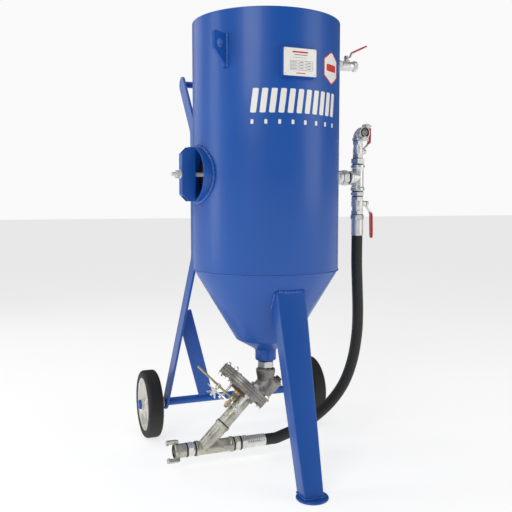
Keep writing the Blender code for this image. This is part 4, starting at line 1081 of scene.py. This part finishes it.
def metering():
    hex_nipple("outlet_union", (0, 0, 0.272), UP, 0.075, 0.0205, 0.0262, (0.023, 0.042),
               "outlet_nipple", 0.016, spin=RIGHT)
    casting = Shape(VALVE)
    casting.turn(mm("21.5 3.6, 87.5 3.6, 88 4.5, 88 13, 86.5 14.5, 56 15, 52 15.2, 21.5 15.2"),
        HERE, 128, 0.0012)
    swell = mm("21.5 8, 43 13, 37 18, 33.5 26, 33 64, 30 73.5, 21.5 74.5")
    casting.turn(swell, shifted(NECK_X), 96, 0.004, steps=4)
    casting.turn(mm("12.8 50, 19.5 50, 19.5 78, 22.2 79.5, 22.2 82, 12.8 82"), shifted(PLUG_X), 64,
        0.0012)
    piece("upper_flange_casting", casting, CASTING, node="upper_casting")
    throat = Shape().turn(mm("21.4 230, 26.2 230, 27 264, 30 275.5, 30.5 279, 30.5 287, "
        "29.5 289.4, 21.4 289.4"), HERE, 96, 0.002)
    path = bend([(0.0, 0, 0.25), (0.0, 0, 0.232), (-0.014, 0, 0.214)], 0.012, 6)
    throat.pipe(path, 0.0275, up=FRONT, sides=40)
    piece("casting_throat", throat, CASTING)
    ring = Shape(VALVE).ring(0.07, 0.0875, -0.0032, 0.0032, HERE, 128, 0.0004)
    piece("wear_ring", ring, MACHINED, node="spacer_ring")
    lines = Shape(VALVE)
    for w in (-0.0034, 0.0034):
        lines.turn(oval(0.0873, w, 0.0009, 0.0007, 6), HERE, 128)
    piece("flange_gaskets", lines, RUBBER)
    disc = Shape(VALVE).rod(0.0685, -0.0027, 0.0027, HERE, 96)
    disc.rod(0.0055, -0.0895, -0.002, HERE, 32)
    disc.solid(threaded(0.0058, -0.09, -0.07), HERE, 32)
    piece("disc_and_spindle", disc, MACHINED, "metering", "metering_disc")
    nut = Shape(VALVE).hexagon(0.0098, -0.0835, -0.0745)
    nut.ring(0.006, 0.0112, -0.0745, -0.0728, HERE, 40, 0.0004)
    piece("spindle_nut", nut, COPPER, "metering")
    lower = Shape(VALVE)
    lower.turn(mm("16.2 -3.6, 87.5 -3.6, 88 -4.5, 88 -11, 86.5 -12.5, 68 -13, 64 -19, 62 -19.5, "
        "16.2 -19.5"), HERE, 128, 0.0014)
    for degrees in (27, 87.4, 147, 207, 267.4, 327):
        lower.rod(0.0118, -0.0195, -0.01, polar(0.0765, degrees), 40, 0.0015)
    lower.turn(mm("16.2 -17, 28.5 -17, 26.8 -21, 26.5 -28.5, 25 -29, 16.2 -29"), shifted(PIPE_X),
        72, soft=0.0014)
    piece("lower_flange_casting", lower, CASTING, node="lower_flange")
    # The boss under the lower flange is drawn dark brown: painted shade where the flange keeps the
    # light off it.
    boss = Shape(VALVE).turn(mm("6.1 -18, 30 -18, 28.8 -22.5, 26.5 -27.5, 25 -28.2, 6.1 -28.2"),
        HERE, 72, 0.0018)
    piece("spindle_boss_painted_shade", boss, BROWN_CASTING_AND_SHADE)
    bush = Shape(VALVE).turn(mm("6.1 -27.5, 15 -27.5, 15 -30, 11.5 -30.8, 11.5 -36.5, 6.1 -36.5"),
        HERE, 48, 0.0006)
    piece("spindle_bush", bush, COPPER)
    bolts = Shape(VALVE)
    for degrees in (27, 147, 207, 327):
        bolt(bolts, degrees, 0.0062, 0.0066, (-0.0195, 0.0146))
    for degrees in QUADRANT_ENDS:
        at = polar(BOLT_CIRCLE, degrees)
        bolts.hexagon(0.0085, 0.0146, 0.0212, at)
        bolts.solid(threaded(0.0045, 0.02, 0.025, 0.001), at, 24)
        bolts.hexagon(0.0085, -0.0262, -0.0197, at)
    piece("flange_bolts", bolts, ZINC)
    plug = Shape(VALVE)
    plug_at = shifted(PLUG_X) @ Matrix.Rotation(0.5, 4, "Z")
    plug.rod(0.0123, 0.066, 0.083, plug_at)
    plug.solid(mm("15.5 82.3, 15.5 86.6, 12.5 88.2"), plug_at, 48, 0.001)
    square = fillet(mm("-8 -8, 8 -8, 8 8, -8 8"), 0.0015)
    levels = (1, 0.087), (1, 0.0952), (0.9, 0.096)
    plug.skin([[(x * k, y * k, w) for x, y in square] for k, w in levels], plug_at)
    piece("square_plug", plug, BROWN_CASTING_AND_SHADE, node="cleanout_plug")
    studs = Shape(VALVE)
    for y in (-0.026, 0.026):
        at = shifted(0.03, y)
        studs.solid(threaded(0.004, 0.015, 0.03, 0.001), at, 24)
        studs.hexagon(0.0074, 0.0152, 0.021, at)
    piece("casting_studs", studs, ZINC)
    coil = Shape(VALVE)
    turns, low, high = 6, -0.048, -0.0378
    path = []
    for i in range(turns * 24 + 1):
        t = tau * i / 24
        path.append(Vector((0.0091 * cos(t), 0.0091 * sin(t), low + (high - low) * i / turns / 24)))
    coil.pipe(path, 0.001, sides=10)
    for a, b in ((-0.0492, -0.0482), (-0.0376, -0.0368)):
        coil.ring(0.0076, 0.0106, a, b, HERE, 48, 0.0003)
    coil.ring(0.0076, 0.0082, -0.0485, -0.0372, HERE, 40)
    piece("coil_spring", coil, SPRING, node="spindle_spring")
    pipe = Shape(VALVE).ring(0.0165, 0.021, -0.1312, -0.0293, shifted(PIPE_X), 80, 0.0006)
    piece("slanted_pipe", pipe, STAINED, node="outlet_pipe")


def lever_parts():
    """The lever with its clamp bolt, the slotted quadrant and the wing nut."""
    turn = radians(195)
    out = Vector((cos(turn), sin(turn), 0))
    across = Vector((-out.y, out.x, 0))
    w = -0.055
    arm = Shape(VALVE)
    arm.ring(0.0061, 0.0112, w - 0.0054, w + 0.0054, HERE, 48, 0.0008)
    arm.rod(0.0035, 0.009, 0.1797, along((0, 0, w), out), 32, 0.0012)
    clamp = Matrix.Translation(out * SLOT_R) @ Matrix.Rotation(turn, 4, "Z")
    arm.ring(0.0038, 0.008, w - 0.0038, w + 0.0038, clamp, 40, 0.0006)
    piece("lever_bar", arm, BRASS, "metering", "metering_lever")
    clamp_bolt = Shape(VALVE).solid(threaded(0.0038, -0.093, -0.059, 0.0012), clamp, 28)
    clamp_bolt.hexagon(0.0075, -0.0648, -0.0589, clamp)
    clamp_bolt.solid([(0.0066, w + 0.0038), (0.0062, w + 0.0058), (0.003, w + 0.0068)], clamp, 32,
        0.0008)
    piece("clamp_bolt", clamp_bolt, ZINC, "metering")
    slotted = Shape(VALVE)
    low, high = radians(82), radians(273)
    slot_low, slot_high = radians(105), radians(250)
    r_in, r_out, slot_half = 0.062, 0.088, 0.0043
    for inner, outer in ((r_in, SLOT_R - slot_half), (SLOT_R + slot_half, r_out)):
        slotted.sector(inner, outer, (slot_low + slot_high) / 2, (slot_high - slot_low) / 2, -0.073,
                       -0.07, steps=64)
    for a, b in ((low, slot_low), (slot_high, high)):
        slotted.sector(r_in, r_out, (a + b) / 2, (b - a) / 2, -0.073, -0.07, steps=12)
    for degrees in QUADRANT_ENDS:
        at = polar(BOLT_CIRCLE, degrees)
        slotted.rod(0.0043, -0.08, -0.0198, at, 32)
        slotted.solid(threaded(0.0045, -0.0815, -0.056, 0.0012), at, 28)
        slotted.hexagon(0.0085, -0.0795, -0.0731, at)
        slotted.hexagon(0.0085, -0.0699, -0.064, at)
    piece("slotted_quadrant", slotted, ZINC, node="lever_quadrant")
    nut = Shape(VALVE)
    nut.turn(mm("4.4 -73.3, 8 -73.3, 8 -76.5, 6.6 -84.3, 4.4 -84.3"), clamp, 40, 0.0008)
    for sign, _ in SIDES:
        rows = []
        for i in range(9):
            t = i / 8
            radial = sign * (0.004 + 0.0125 * t + 0.002 * sin(t * pi / 2))
            drop = -0.0783 - 0.013 * t ** 0.8
            half_wide = 0.0048 + 0.002 * sin(pi * min(1.0, t * 0.75 + 0.2))
            thick = 0.0017 - 0.0006 * t
            point = out * SLOT_R + out * radial + Vector((0, 0, drop))
            normal = (out * sign * 0.72 + Vector((0, 0, 0.69))).normalized()
            rows.append([point + across * half_wide * cos(a) + normal * thick * sin(a)
                         for a in angles(16)])
        nut.skin(rows)
    piece("winged_nut", nut, ZINC, "wing_nut", "wing_nut")


vessel()
markings()
hatch()
trolley()
inlet()
blast_side()
metering()
lever_parts()

# Floor

floor_mesh = bpy.data.meshes.new("floor")
floor_mesh.from_pydata([(-30, -30, 0), (30, -30, 0), (30, 30, 0), (-30, 30, 0)], [], [(0, 1, 2, 3)])
floor = added("floor", floor_mesh)
pale, _ = look("pale_floor", None, (0.46, 0.46, 0.46), (0.48, 0.48, 0.48), (0.8, 0.9), coarse=1.0,
               fine=40, bump=0.02)
glow = pale.node_tree.nodes["Principled BSDF"].inputs
glow["Emission Color"].default_value = (1.0, 1.0, 1.0, 1.0)
glow["Emission Strength"].default_value = 0.72
floor.data.materials.append(pale)
